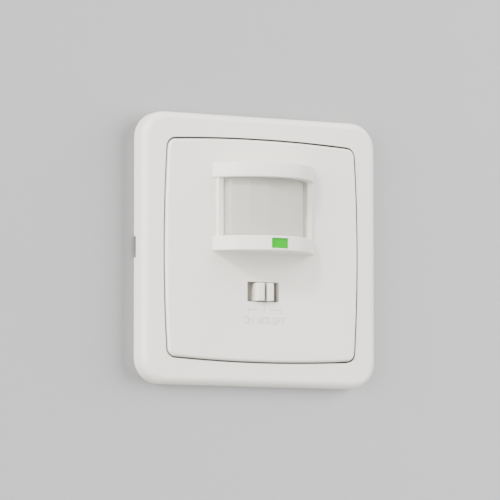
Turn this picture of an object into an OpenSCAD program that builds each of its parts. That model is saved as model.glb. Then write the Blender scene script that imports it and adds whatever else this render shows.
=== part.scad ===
// Motion sensor light switch for a flush wall box, in millimetres.
// Each piece is drawn lying on its back: x right, y up the wall, z from the wall towards the room.
// on_wall() then stands it up, so that the room lies on the -Y side and +Z is up.

/* [Frame] */
// Side of the square outer frame
frame_side = 80; // [78:1:96]
// How far the frame stands off the wall
frame_depth = 6; // [5.5:0.25:8]
// Radius of the frame's corners, seen from the front
frame_corner = 7.8; // [6:0.2:12]
// Radius of the frame's rounded front edge
frame_edge = 2.2; // [1:0.1:3.5]
// Wall of the frame
frame_wall = 2; // [1.4:0.1:2.4]
// Width of the frame's face beside the cover, at the middle of a side
frame_band = 6.65; // [6.2:0.05:8]
// Height of the pry notch in the frame's left side
notch_height = 6.3; // [4:0.1:12]
// Depth of the pry notch, from the wall
notch_depth = 1.2; // [0.6:0.1:2.4]
// Length of each tongue that holds the frame to the plate
tongue_length = 10; // [6:1:16]
// Thickness of a tongue
tongue_thick = 1.2; // [0.8:0.1:1.6]

/* [Centre cover] */
// How far each side bows out between the corners
cover_bow = 1.1; // [0.4:0.1:2]
// Radius of the cover's corners, seen from the front
cover_corner = 2.5; // [1.6:0.1:5]
// Radius of the cover's rounded front edge
cover_edge = 0.8; // [0.4:0.1:1.4]
// Wall of the cover
cover_wall = 1.8; // [1.4:0.1:2.2]
// How far the cover stands proud of the frame
cover_proud = 0.8; // [0.2:0.1:2]
// Gap between the cover and the frame
cover_gap = 0.5; // [0.2:0.05:0.8]
// Diameter of the pegs that hold the cover
peg_d = 3; // [2:0.1:4]

/* [Sensor head] */
// Width of the head where it meets the cover
head_width = 34.8; // [32:0.2:37]
// Height of the head
head_height = 26; // [23:0.5:28]
// How far the head stands out of the cover
head_rise = 10.8; // [9.5:0.1:12]
// Height of the head's centre above the cover's centre
head_centre = 12.4; // [11.5:0.1:13.5]
// Height of each curved bar
bar_height = 4.35; // [4:0.05:6]
// Width of the low posts beside the lens
post_width = 1.8; // [1.2:0.1:2.4]
// How far the posts stand out of the cover
post_rise = 1.4; // [0.8:0.1:2.4]

/* [Lens] */
// How far the lens lies behind the face of the bars
lens_inset = 3.1; // [2.4:0.1:3.8]
// Thickness of the lens
lens_thick = 0.8; // [0.5:0.1:1.2]
// Whole facets across the lens, besides a part one at each end
lens_facets = 5; // [3:1:5]
// Angle that one facet takes
facet_angle = 19.4; // [12:0.2:20]
// Width of the lens's side flanges
flange_width = 1.3; // [0.8:0.1:1.5]
// How far the lens reaches behind each bar
lens_lap = 1.5; // [0.8:0.1:1.8]
// Thickness of the retainer behind the flanges
retainer_thick = 1; // [0.7:0.1:1.2]

/* [Light guide] */
// Width of the green window in the lower bar
led_width = 5.5; // [4:0.1:7]
// Height of the green window
led_height = 2.85; // [2:0.05:3.2]
// How far the window lies behind the face of the bar
led_inset = 0.35; // [0.1:0.05:0.8]
// How far the window's middle lies left of the head's middle
led_left = 0.45; // [0:0.05:0.6]
// Side of the guide's stem
stem_side = 1.5; // [1:0.1:1.8]

/* [Mode switch] */
// Width of the knob's window
slot_width = 10.8; // [10:0.1:12]
// Height of the knob's window
slot_height = 5.85; // [5:0.05:6.5]
// Distance of the knob's window below the cover's centre
slot_drop = 12.2; // [11.5:0.1:13]
// Width of the knob
knob_width = 5.5; // [5:0.1:6.2]
// How far the knob stands out of the cover
knob_proud = 1.6; // [0.4:0.1:2.4]
// Radius of the knob's side edges
knob_edge = 0.3; // [0.2:0.1:1]
// Width of the groove between the knob's ridges
groove_width = 1; // [0.6:0.05:1.4]
// Depth of the groove
groove_depth = 1.6; // [0.5:0.1:1.8]
// Travel of the knob to each side of its middle position
knob_travel = 2; // [1.5:0.1:2]
// Length of the slide switch's case
switch_length = 12.7; // [12:0.1:14]
// Width of the slide switch's case
switch_width = 6.6; // [6:0.1:7]
// Height of the slide switch's case
switch_height = 4.8; // [4.2:0.1:5]
// Side of the switch's lever
lever_side = 2; // [1.6:0.1:2.4]

/* [Support plate] */
// Thickness of the steel plate
plate_thick = 1.2; // [0.8:0.1:1.5]
// Distance between the wall box's screws
box_screw_pitch = 60; // [58:0.5:61]
// Width of the slots for those screws
box_slot_width = 3.6; // [3.2:0.1:4.2]
// Length of those slots
box_slot_length = 6.6; // [5:0.1:7]

/* [Carrier] */
// Thickness of the carrier
carrier_thick = 1.6; // [1.2:0.1:1.8]
// Distance of the carrier's screws from the middle, along x and y
screw_place = 18.2; // [17.8:0.1:18.4]
// Shank diameter of the carrier's screws
screw_d = 2; // [1.8:0.1:2.4]
// Head diameter of the carrier's screws
screw_head_d = 4.4; // [3.6:0.1:4.6]
// Head height of the carrier's screws
screw_head_h = 1.4; // [1:0.1:1.5]
// Length of the screws' thread in the housing
screw_bite = 9; // [6:0.5:14]

/* [Housing] */
// Side of the housing that goes into the wall box
box_side = 47; // [46:0.5:49]
// Radius of the housing's corners, seen from behind
box_corner = 11; // [9:0.5:12]
// Wall of the housing
box_wall = 1.6; // [1.2:0.1:1.8]
// Radius of the housing's rear edge
box_edge = 1.2; // [0.5:0.1:1.5]
// Room behind the power board, for its solder joints
solder_room = 1.7; // [1.2:0.1:3]

/* [Boards and works] */
// Thickness of the circuit boards
board_thick = 1.6; // [1:0.1:2]
// Height of the sensor can
can_height = 4.4; // [4:0.1:5]
// Body diameter of the sensor can
can_d = 8.2; // [7.6:0.1:9]
// Diameter of the photocell
photocell_d = 5; // [4:0.1:5.4]
// Diameter of the lamp
lamp_d = 3; // [2.6:0.1:3.2]
// Side of each trimmer's base
trimmer_side = 7; // [6:0.1:7.4]
// Height of each trimmer's base
trimmer_height = 2.6; // [2:0.1:3]
// Diameter of the spindle that a screwdriver turns
spindle_d = 3.4; // [3:0.1:4]
// Length of the relay
relay_length = 19.2; // [17:0.1:20]
// Width of the relay
relay_width = 15.5; // [14:0.1:16]
// Height of the relay
relay_height = 15.3; // [14:0.1:18]
// Diameter of the filter capacitor
filter_d = 8; // [6:0.5:8.5]

/* [Terminals] */
// Distance between neighbouring terminals
pole_pitch = 5.08; // [4.9:0.01:5.2]
// Number of terminals
poles = 3; // [2:1:3]
// Diameter of the wire entries
wire_d = 3.4; // [2.6:0.1:3.5]
// Length of the terminal block, from the board towards the back
block_length = 12.5; // [11.5:0.5:15]
// Depth of the terminal block, up the board
block_depth = 9.4; // [9:0.1:11]

/* [Hidden] */
$fn = 64;

// Clearances: between loose pieces, round a spindle, and between pieces that fit closely
loose = 0.3;
running = 0.05;
snug = 0.1;
// How far a cutter runs past the face that it cuts, and a rib into the wall that carries it
past = 1;
sunk = 0.2;

// Colours
shell_white = "#f2f0ec";
inner_white = "#e9e7e2";
lens_milk = "#e3e2da";
lamp_green = "#5fc653";
steel = "#b9bcc0";
board_green = "#2f6b45";
block_green = "#4d8f5b";
black_plastic = "#26272a";
filter_grey = "#3c3f46";
cell_brown = "#c98a5a";
relay_blue = "#3a6ea8";
film_yellow = "#d9b23c";
varistor_blue = "#2f5fae";
fuse_green = "#7fae8d";
brass_gold = "#c3a557";

// Levels along z, from the front to the back
cover_front = frame_depth + cover_proud;
cover_inside = cover_front - cover_wall;
cover_back = plate_thick + loose;
flange_back = cover_inside - lens_thick;
retainer_back = flange_back - retainer_thick;
carrier_front = plate_thick + carrier_thick;
head_radius = (pow(head_width / 2, 2) + pow(head_rise, 2)) / (2 * head_rise);
head_axis = cover_front + head_rise - head_radius;
// Room between the slide switch and the carrier; the sensor's can then ends near the axis of the lens
case_room = 1.6;
case_front = plate_thick - case_room;
sensor_face = case_front - switch_height;
can_front = sensor_face + can_height;
sensor_back = sensor_face - board_thick;
power_face = sensor_back - solder_room - relay_height;
power_back = power_face - board_thick;
floor_inside = power_back - solder_room;
floor_back = floor_inside - box_wall;
block_back = power_back - block_length;

// Frame, plate and cover
frame_half = frame_side / 2;
cavity_half = frame_half - frame_wall;
cavity_corner = frame_corner - frame_wall;
plate_inset = 0.8;
plate_half = cavity_half - plate_inset;
plate_corner = cavity_corner - plate_inset;
plate_rim = 1.2;
tongue_outer = plate_half - plate_rim - running;
tongue_mid = tongue_outer - tongue_thick / 2;
cover_half = frame_half - frame_band - cover_gap;
rim_thick = 1.5;
rim_corner = max(0.4, cover_corner - rim_thick);
// Room for the heads of the wall box's screws, beside and past the slots and over the carrier
head_room_side = 2.5;
head_room_end = 1.4;
head_room_width = box_slot_width + 2 * head_room_side;
head_room_reach = box_slot_length / 2 + head_room_end;
head_room_height = 1.2;

// Carrier and housing
carrier_half = cover_half - cover_bow - rim_thick - 2 * loose;
peg_edge = 2.4;
peg_place = carrier_half - peg_d / 2 - peg_edge;
drive_width = 0.6;
drive_inset = 0.8;
drive_length = screw_head_d - 2 * drive_inset;
drive_depth = 0.8;
box_half = box_side / 2;
bore_half = box_half - box_wall;
bore_corner = box_corner - box_wall;
boss_wall = 1.4;
boss_r = screw_d / 2 + boss_wall;
// Corner notches of the plate and boards clear the screw bosses
notch_half = screw_place - boss_r - loose;
works_half = bore_half - sunk;
sensor_half = bore_half - loose;
ledge_depth = 1.4;
ledge_width = 3;
ledge_height = 4;
ledge_from_notch = 6.5;
ledge_y = notch_half - ledge_from_notch;
ledge_places = [for (x = [-1, 1], y = [-ledge_y, ledge_y]) [x, y]];
leg_thick = 1.1;
leg_mid = works_half - loose - leg_thick / 2;
power_half = bore_half - ledge_depth - loose;
prop_d = 3;
prop_inset = 2;

// Sensor head
head_low = head_centre - head_height / 2;
head_high = head_centre + head_height / 2;
opening_low = head_low + bar_height;
opening_high = head_high - bar_height;
lens_radius = head_radius - lens_inset;
lens_half = sqrt(pow(lens_radius, 2) - pow(cover_front - head_axis, 2));
lens_low = opening_low - lens_lap;
lens_high = opening_high + lens_lap;
lens_height = lens_high - lens_low;
post_gap = 0.5;
post_x = lens_half + post_gap + post_width / 2;
flange_half = lens_half + flange_width;
retainer_half = flange_half + loose;
retainer_rest = 0.5;
stake_d = 1.6;
stake_inset = 4.8;
stake_x = lens_half - stake_inset;
stake_ys = [(head_low + lens_low) / 2, (head_high + lens_high) / 2];
stakes = [for (x = [-stake_x, stake_x], y = stake_ys) [x, y]];
led_centre = (head_low + opening_low) / 2;
led_back = head_axis + lens_radius + loose;
stem_width = 2 * stem_side;
stem_centre = (head_low + lens_low) / 2 - snug;
stem_sink = 0.6;
stem_back = carrier_front - stem_sink;

// Mode switch
slot_centre = -slot_drop;
knob_front = cover_front + knob_proud;
knob_room = 0.25;
knob_height = slot_height - 2 * knob_room;
skirt_thick = 1.1;
skirt_lap = 0.6;
skirt_rim = 0.8;
skirt_front = cover_inside - loose;
skirt_back = skirt_front - skirt_thick;
skirt_half = slot_width / 2 + knob_travel + skirt_lap;
skirt_height = slot_height + 2 * skirt_rim;
socket_wall = 1;
socket_side = lever_side + 2 * socket_wall;
socket_sink = 1.4;
socket_back = carrier_front - socket_sink;
case_wall = 0.8;
lever_front = skirt_back - sunk;
foot_length = 5;
foot_rim = 1;
foot_width = lever_side + 2 * foot_rim;
foot_height = 2.2;
foot_back = sensor_face + loose;
foot_front = foot_back + foot_height;

// Settings, either side of the switch
trimmer_gap = 3.4;
trimmer_x = switch_length / 2 + trimmer_gap + trimmer_side / 2;
trimmer_edge = 1;
trimmer_y = trimmer_side / 2 + trimmer_edge - notch_half;
trimmer_front = sensor_face + trimmer_height;
trimmer_floor = 0.6;
bore_floor = sensor_face + trimmer_floor;
rotor_inset = 0.7;
rotor_d = trimmer_side - 2 * rotor_inset;
rotor_thick = 1;
rotor_back = trimmer_front + running;
journal_d = 2.4;
spindle_front = carrier_front - sunk;
spindle_slot = 0.7;
spindle_slot_depth = 1;

// Lamp
lamp_body = 2.3;
lamp_height = lamp_d + lamp_body;
lamp_gap = 0.5;
lamp_front = stem_back - lamp_gap;
lamp_back = lamp_front - lamp_height;
lamp_rim = 0.4;
lamp_rim_height = 1;
lamp_room = 1.2;
lamp_hole = lamp_d + 2 * lamp_room;
lead_side = 0.5;
lead_place = 1.27;

// Other pieces of the sensor board
can_brim = 0.45;
can_foot_d = can_d + 2 * can_brim;
can_foot_height = 0.6;
filter_long = 4;
filter_wide = 3;
filter_thick = 0.4;
filter_back = can_front - filter_thick;
cell_height = 2.1;
cell_gap = 1.6;
cell_x = can_d / 2 + photocell_d / 2 + cell_gap;
chip_edge = 4.6;
chip_x = chip_edge - sensor_half;
chip_y = head_centre / 2;
chip_long = 9.9;
chip_wide = 3.9;
chip_lift = 0.2;
chip_height = 1.4;
chip_back = sensor_face + chip_lift;
chip_front = chip_back + chip_height;
chip_pitch = 1.27;
chip_legs = 7;
chip_leg_out = 0.45;
chip_leg_x = chip_wide / 2 + chip_leg_out;
chip_leg_long = 1.1;
chip_leg_wide = 0.42;
chip_leg_high = 0.8;

// Pin row between the boards
header_pitch = 2.54;
header_n = 6;
header_wide = 2.5;
header_y = power_half - header_wide / 2 - loose;
header_xs = [for (i = [0 : header_n - 1]) (i - (header_n - 1) / 2) * header_pitch];
pin_side = 0.64;

// Power side: the relay fills the left half, the capacitors stand at its right
relay_edge = 1.5;
relay_x = relay_length / 2 + relay_edge - power_half;
relay_y = 3;
relay_right = relay_x + relay_length / 2;
relay_low = relay_y - relay_width / 2;
relay_high = relay_y + relay_width / 2;
film_long = 12.5;
film_wide = 5.5;
film_height = 11;
film_gap = 1.5;
film_up = 5;
film_x = relay_right + film_gap + film_long / 2;
film_y = relay_y + film_up;
bulk_height = 12;
bulk_gap = 1;
bulk_left = 1.5;
bulk_x = film_x - bulk_left;
bulk_y = film_y - film_wide / 2 - bulk_gap - filter_d / 2;
crimp_height = 1.6;
crimp_out = 0.2;
crimp_r = 0.5;
varistor_d = 7;
varistor_thick = 3.6;
varistor_right = 2;
varistor_gap = 0.6;
varistor_x = relay_right + varistor_right;
varistor_y = relay_high + varistor_gap + varistor_thick / 2;
varistor_lift = 1.5;
wire_side = 0.6;
fuse_d = 3;
fuse_long = 8;
fuse_left = 1;
fuse_gap = 1;
fuse_lift = 0.4;
fuse_x = relay_x - fuse_left;
fuse_y = relay_low - fuse_gap - fuse_d / 2;
fuse_axis = power_face + fuse_d / 2 + fuse_lift;
fuse_reach = 1.5;
bridge_long = 8;
bridge_wide = 6;
bridge_right = 1;
bridge_gap = 0.5;
bridge_lift = 0.4;
bridge_height = 2.6;
bridge_x = relay_right + bridge_right + bridge_long / 2;
bridge_y = relay_low - bridge_gap - bridge_wide / 2;
bridge_back = power_face + bridge_lift;
bridge_front = bridge_back + bridge_height;
bridge_leg_side = 1;
bridge_leg_high = 1.4;

// Terminals
pole_xs = [for (i = [0 : poles - 1]) (i - (poles - 1) / 2) * pole_pitch];
block_side = 3;
block_edge = 0.8;
block_width = (poles - 1) * pole_pitch + 2 * block_side;
block_low = block_edge - power_half;
block_centre = block_low + block_depth / 2;
entry_wall = 1.6;
entry_from_back = 6.2;
entry_level = block_back + entry_from_back;
clamp_side = 4;
clamp_room = 0.15;
clamp_lip = 0.6;
clamp_length = wire_d + 2 * clamp_lip;
clamp_low = block_low + entry_wall + clamp_room;
clamp_deep = block_depth - 2 * entry_wall - 2 * clamp_room;
clamp_centre = clamp_low + clamp_deep / 2;
clamp_back = entry_level - clamp_length / 2;
clamp_front = entry_level + clamp_length / 2;
clamp_floor = 0.6;
term_screw_d = 2.4;
term_head_d = 3.8;
term_inset = 0.4;
term_head_height = 1.6;
term_slot = 0.7;
term_slot_depth = 0.8;
term_head_back = block_back + term_inset;
term_head_front = term_head_back + term_head_height;
term_slot_front = term_head_back + term_slot_depth;

corners = [for (x = [-1, 1], y = [-1, 1]) [x, y]];
quarters = [0 : 90 : 270];

// Stands a piece that was drawn on its back up against the wall
module on_wall() {
    rotate([90, 0, 0]) children();
}

// Box centred on x and y, between two levels
module slab(size_x, size_y, low, high, x = 0, y = 0) {
    translate([x - size_x / 2, y - size_y / 2, low]) cube([size_x, size_y, high - low]);
}

// Upright round bar between two levels
module post(d, low, high, x = 0, y = 0) {
    translate([x, y, low]) cylinder(d = d, h = high - low);
}

// The same, at one distance from the middle along x and y in each corner
module corner_posts(d, low, high, place) {
    for (c = corners) post(d, low, high, place * c.x, place * c.y);
}

// Square plate with round corners, between two levels
module plate(half, corner, low, high) {
    slab(2 * half, 2 * (half - corner), low, high);
    slab(2 * (half - corner), 2 * half, low, high);
    corner_posts(2 * corner, low, high, half - corner);
}

// Plus-shaped plate: a square with its four corners cut out
module plus(half, arm_half, low, high) {
    slab(2 * half, 2 * arm_half, low, high);
    slab(2 * arm_half, 2 * half, low, high);
}

// Section of a block whose two upper edges are rounded
module soft_section(half, depth, edge) {
    translate([-half, 0]) square([2 * half, depth - edge]);
    translate([edge - half, 0]) square([2 * (half - edge), depth]);
    for (s = [-1, 1]) translate([s * (half - edge), depth - edge]) circle(edge);
}

// Square block with round corners and a rounded front edge
module soft_block(half, corner, depth, edge) {
    for (a = [0, 90]) rotate([90, 0, a])
        linear_extrude(2 * (half - corner), center = true) soft_section(half, depth, edge);
    for (c = corners) translate([c.x * (half - corner), c.y * (half - corner), 0])
        rotate_extrude() intersection() {
            soft_section(corner, depth, edge);
            square([corner, depth]);
        }
}

function turned(p, a) = [p.x * cos(a) - p.y * sin(a), p.x * sin(a) + p.y * cos(a)];

// Outline of the cover: four bowed sides, each an arc, joined by small corner arcs.
// The corner's centre (k, k) lies at bow_r - corner from the centre of each side's arc.
function pillow(half, bow, corner, side_n = 8, corner_n = 6) = let (
    chord = half - bow,
    bow_r = (chord * chord + bow * bow) / (2 * bow),
    q = bow_r - half,
    k = (sqrt(2 * pow(bow_r - corner, 2) - q * q) - q) / 2,
    meet = atan2(k, k + q),
    side = [for (i = [0 : side_n]) let (a = meet * (2 * i / side_n - 1))
        [bow_r * cos(a) - q, bow_r * sin(a)]],
    bend = [for (i = [1 : corner_n - 1]) let (a = meet + (90 - 2 * meet) * i / corner_n)
        [k + corner * cos(a), k + corner * sin(a)]]
) [for (s = [0 : 3], p = concat(side, bend)) turned(p, 90 * s)];

// Bowed block with a rounded front edge: rings of the outline, drawn in along a quarter circle
module pillow_block(half, bow, corner, low, high, edge, steps = 4) {
    rings = concat([[0, low]], [for (i = [0 : steps]) let (a = 90 * i / steps)
        [edge * (1 - cos(a)), high - edge + edge * sin(a)]]);
    loops = [for (r = rings) pillow(half - r[0], bow, corner - r[0])];
    n = len(loops[0]);
    last = len(rings) - 1;
    points = [for (i = [0 : last], p = loops[i]) [p.x, p.y, rings[i][1]]];
    walls = [for (i = [0 : last - 1], j = [0 : n - 1]) let (next = (j + 1) % n)
        [(i + 1) * n + j, (i + 1) * n + next, i * n + next, i * n + j]];
    polyhedron(points, concat(walls, [[for (j = [0 : n - 1]) j]],
        [[for (j = [n - 1 : -1 : 0]) last * n + j]]));
}

// Bowed block with straight sides
module pillow_cut(half, bow, corner, low, high) {
    translate([0, 0, low]) linear_extrude(high - low) polygon(pillow(half, bow, corner));
}

// Round bar about the lens's axis, which runs up the wall
module about_lens(r, low, high) {
    translate([0, low, head_axis]) rotate([-90, 0, 0]) cylinder(r = r, h = high - low, $fn = 128);
}

module cover_frame() on_wall() color(shell_white) {
    difference() {
        soft_block(frame_half, frame_corner, frame_depth, frame_edge);
        plate(cavity_half, cavity_corner, -past, frame_depth - frame_wall);
        pillow_cut(cover_half + cover_gap, cover_bow, cover_corner + cover_gap, 0, frame_depth + past);
        slab(2 * frame_wall, notch_height, -past, notch_depth, -frame_half);
    }
    for (a = quarters) rotate(a)
        slab(tongue_thick, tongue_length, 2 * snug, frame_depth - frame_wall + sunk, tongue_mid);
}

// One curved bar of the head, closed back to the cover's inside
module head_bar(low, high) {
    intersection() {
        about_lens(head_radius, low, high);
        slab(head_width, high - low, cover_inside, cover_front + head_rise, 0, (low + high) / 2);
    }
}

// Room for the lens: its curve in front of the cover and its straight legs through the cover
module lens_room() {
    intersection() {
        about_lens(lens_radius + snug, lens_low - snug, lens_high + snug);
        slab(2 * head_width, 2 * head_height, cover_front - snug, head_radius, 0, head_centre);
    }
    slab(2 * (lens_half + snug), lens_height + 2 * snug, cover_inside - past, cover_front, 0, head_centre);
}

// The light guide's stem, or with room round it the hole for it
module stem(low, high, room = 0) {
    slab(stem_width + 2 * room, stem_side + 2 * room, low, high, 0, stem_centre);
}

module centre_cover() on_wall() color(shell_white) {
    difference() {
        union() {
            difference() {
                pillow_block(cover_half, cover_bow, cover_corner, cover_back, cover_front, cover_edge);
                pillow_cut(cover_half - rim_thick, cover_bow, rim_corner, cover_back - past, cover_inside);
            }
            head_bar(head_low, opening_low);
            head_bar(opening_high, head_high);
            for (s = [-1, 1]) slab(post_width, opening_high - opening_low, cover_inside,
                cover_front + post_rise, s * post_x, head_centre);
            corner_posts(peg_d, cover_back + loose, cover_inside + sunk, peg_place);
            for (p = stakes) post(stake_d, retainer_back, cover_inside + sunk, p.x, p.y);
        }
        lens_room();
        slab(led_width + 2 * snug, led_height + 2 * snug, led_back - snug, head_radius, -led_left,
            led_centre);
        stem(cover_inside - past, led_back + sunk + snug, snug);
        slab(slot_width, slot_height, cover_inside - past, cover_front + past, 0, slot_centre);
        for (s = [-1, 1]) slab(4 * rim_thick, head_room_width, cover_back - past,
            carrier_front + head_room_height, s * cover_half);
    }
}

// Foot of the lens at one side: straight leg through the cover and flange behind it
function lens_foot(s) = let (
    inner = lens_half - lens_thick,
    knee = head_axis + sqrt(pow(lens_radius - lens_thick, 2) - inner * inner)
) [
    [s * lens_half, cover_front],
    [s * lens_half, cover_inside],
    [s * flange_half, cover_inside],
    [s * flange_half, flange_back],
    [s * inner, flange_back],
    [s * inner, knee]
];

// Corners of the facets, round the axis at one radius
function lens_bends(r) = [for (i = [0 : lens_facets]) let (a = (i - lens_facets / 2) * facet_angle)
    [r * sin(a), head_axis + r * cos(a)]];

function backwards(list) = [for (i = [len(list) - 1 : -1 : 0]) list[i]];

// The lens in plan: flat facets round the axis between its two feet
module lens_plan() {
    polygon(concat(lens_bends(lens_radius), lens_foot(1),
        backwards(lens_bends(lens_radius - lens_thick)), backwards(lens_foot(-1))));
}

module fresnel_lens() on_wall() color(lens_milk)
    translate([0, lens_high, 0]) rotate([90, 0, 0]) linear_extrude(lens_height) lens_plan();

module lens_retainer() on_wall() color(inner_white) {
    difference() {
        slab(2 * retainer_half, head_height - 2 * snug, retainer_back, flange_back, 0, head_centre);
        slab(2 * (lens_half - lens_thick - snug), lens_height - 2 * retainer_rest, retainer_back - past,
            flange_back + past, 0, head_centre);
        for (p = stakes)
            post(stake_d + 2 * running, retainer_back - past, flange_back + past, p.x, p.y);
        stem(retainer_back - past, flange_back + past, snug);
    }
}

module led_window() on_wall() color(lamp_green) {
    intersection() {
        slab(led_width, led_height, led_back, head_radius, -led_left, led_centre);
        about_lens(head_radius - led_inset, head_low, opening_low);
    }
    stem(stem_back, led_back + sunk);
}

module mode_knob() on_wall() color(shell_white) translate([0, slot_centre, 0]) {
    difference() {
        translate([0, 0, skirt_front - sunk]) rotate([90, 0, 0])
            linear_extrude(knob_height, center = true)
                soft_section(knob_width / 2, knob_front - skirt_front + sunk, knob_edge);
        slab(groove_width, knob_height + past, knob_front - groove_depth, knob_front + past);
    }
    slab(2 * skirt_half, skirt_height, skirt_back, skirt_front);
    difference() {
        slab(socket_side, socket_side, socket_back, skirt_back + sunk);
        slab(lever_side, lever_side, socket_back - past, skirt_back);
    }
}

module switch_lever() on_wall() color(black_plastic) translate([0, slot_centre, 0]) {
    slab(lever_side, lever_side, foot_back, lever_front);
    slab(foot_length, foot_width, foot_back, foot_front);
}

module switch_case() on_wall() color(steel) translate([0, slot_centre, 0]) {
    difference() {
        slab(switch_length, switch_width, sensor_face, case_front);
        slab(switch_length - 2 * case_wall, switch_width - 2 * case_wall, sensor_face - past,
            case_front - case_wall);
        slab(lever_side + 2 * knob_travel + 2 * loose, lever_side + 2 * loose, sensor_face,
            case_front + past);
    }
}

// Base of one setting: a block with a bore for the spindle's journal
module trimmer_base(x) on_wall() color(black_plastic) translate([x, trimmer_y, 0]) {
    difference() {
        slab(trimmer_side, trimmer_side, sensor_face, trimmer_front);
        post(journal_d + 2 * running, bore_floor, trimmer_front + past);
    }
}

// Turning part of one setting: journal, disc and spindle with a screwdriver slot
module adjuster(x) on_wall() color(inner_white) translate([x, trimmer_y, 0]) {
    difference() {
        union() {
            post(journal_d, bore_floor + sunk, rotor_back + rotor_thick);
            post(rotor_d, rotor_back, rotor_back + rotor_thick);
            post(spindle_d, rotor_back, spindle_front);
        }
        slab(spindle_slot, spindle_d + past, spindle_front - spindle_slot_depth, spindle_front + past);
    }
}

module time_trimmer() trimmer_base(-trimmer_x);
module light_trimmer() trimmer_base(trimmer_x);
module time_adjuster() adjuster(-trimmer_x);
module light_adjuster() adjuster(trimmer_x);

module support_plate() on_wall() color(steel) {
    difference() {
        plate(plate_half, plate_corner, 0, plate_thick);
        plus(works_half, notch_half, -past, plate_thick + past);
        corner_posts(screw_d + 2 * loose, -past, plate_thick + past, screw_place);
        for (s = [-1, 1]) translate([s * box_screw_pitch / 2, 0, 0]) {
            slab(box_slot_length - box_slot_width, box_slot_width, -past, plate_thick + past);
            for (e = [-1, 1]) post(box_slot_width, -past, plate_thick + past,
                e * (box_slot_length - box_slot_width) / 2);
        }
        for (a = quarters) rotate(a) slab(tongue_thick + 2 * running, tongue_length + 2 * loose,
            -past, plate_thick + past, tongue_mid);
    }
}

module front_carrier() on_wall() color(inner_white) {
    top = carrier_front + past;
    difference() {
        plate(carrier_half, cover_corner, plate_thick, carrier_front);
        slab(2 * lens_half, lens_height, 0, top, 0, head_centre + sunk);
        post(lamp_hole, 0, top, 0, stem_centre);
        slab(socket_side + 2 * knob_travel + 2 * loose, socket_side + 2 * loose, 0, top, 0, slot_centre);
        for (s = [-1, 1]) post(spindle_d + 2 * loose, 0, top, s * trimmer_x, trimmer_y);
        corner_posts(screw_d + 2 * loose, 0, top, screw_place);
        corner_posts(peg_d + 2 * running, 0, top, peg_place);
        // Open sides for the heads of the wall box's screws
        for (s = [-1, 1]) slab(2 * (carrier_half - box_screw_pitch / 2 + head_room_reach),
            head_room_width, 0, top, s * carrier_half);
    }
    // Legs that hold the sensor board down on its ledges
    for (p = ledge_places)
        slab(leg_thick, ledge_width, sensor_face, plate_thick + sunk, p.x * leg_mid, p.y);
}

module carrier_screws() on_wall() color(steel) difference() {
    head_front = carrier_front + screw_head_h;
    union() {
        corner_posts(screw_d, -screw_bite, carrier_front + sunk, screw_place);
        corner_posts(screw_head_d, carrier_front, head_front, screw_place);
    }
    for (c = corners, a = [0, 90]) translate([c.x * screw_place, c.y * screw_place, 0]) rotate(a)
        slab(drive_width, drive_length, head_front - drive_depth, head_front + past);
}

module rear_housing() on_wall() color(inner_white) {
    difference() {
        union() {
            difference() {
                mirror([0, 0, 1]) soft_block(box_half, box_corner, -floor_back, box_edge);
                plate(bore_half, bore_corner, floor_inside, past);
            }
            corner_posts(2 * boss_r, floor_inside - sunk, 0, screw_place);
            // Ledges under the sensor board and props under the power board
            for (p = ledge_places) slab(ledge_depth + 2 * sunk, ledge_width,
                sensor_back - ledge_height, sensor_back, p.x * (bore_half + sunk - ledge_depth / 2), p.y);
            for (c = corners) post(prop_d, floor_inside - sunk, power_back,
                c.x * (notch_half - prop_inset), c.y * (power_half - prop_inset));
        }
        corner_posts(screw_d + 2 * running, -screw_bite - past, past, screw_place);
        slab(block_width + 2 * loose, block_depth + 2 * loose, floor_back - past, floor_inside + past,
            0, block_centre);
    }
}

module sensor_board() on_wall() color(board_green) intersection() {
    plus(sensor_half, notch_half, sensor_back, sensor_face);
    plate(sensor_half, bore_corner, sensor_back, sensor_face);
}

module power_board() on_wall() color(board_green)
    plus(power_half, notch_half, power_back, power_face);

module board_header() on_wall() color(black_plastic) translate([0, header_y, 0]) difference() {
    slab(header_n * header_pitch, header_wide, power_face, sensor_back);
    for (x = header_xs) slab(pin_side, pin_side, power_face - past, sensor_back + past, x);
}

module header_pins() on_wall() color(brass_gold)
    for (x = header_xs) slab(pin_side, pin_side, power_face, sensor_back, x, header_y);

module pir_can() on_wall() color(steel) translate([0, head_centre, 0]) difference() {
    union() {
        post(can_foot_d, sensor_face, sensor_face + can_foot_height);
        post(can_d, sensor_face, can_front);
    }
    slab(filter_long, filter_wide, filter_back, can_front + past);
}

module pir_filter() on_wall() color(filter_grey)
    slab(filter_long, filter_wide, filter_back, can_front, 0, head_centre);

module photocell() on_wall() color(cell_brown)
    post(photocell_d, sensor_face, sensor_face + cell_height, cell_x, head_centre);

module status_led() on_wall() color(lamp_green) translate([0, stem_centre, lamp_back])
    rotate_extrude() {
        square([lamp_d / 2 + lamp_rim, lamp_rim_height]);
        square([lamp_d / 2, lamp_height - lamp_d / 2]);
        intersection() {
            translate([0, lamp_height - lamp_d / 2]) circle(d = lamp_d);
            square([lamp_d, lamp_height]);
        }
    }

module led_leads() on_wall() color(steel) for (s = [-1, 1])
    slab(lead_side, lead_side, sensor_face, lamp_back, s * lead_place, stem_centre);

module control_chip() on_wall() color(black_plastic) translate([chip_x, chip_y, 0]) {
    slab(chip_wide, chip_long, chip_back, chip_front);
    for (i = [1 : chip_legs], s = [-1, 1]) slab(chip_leg_long, chip_leg_wide, sensor_face,
        sensor_face + chip_leg_high, s * chip_leg_x, (i - (chip_legs + 1) / 2) * chip_pitch);
}

module relay() on_wall() color(relay_blue)
    slab(relay_length, relay_width, power_face, power_face + relay_height, relay_x, relay_y);

module film_capacitor() on_wall() color(film_yellow)
    slab(film_long, film_wide, power_face, power_face + film_height, film_x, film_y);

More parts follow.
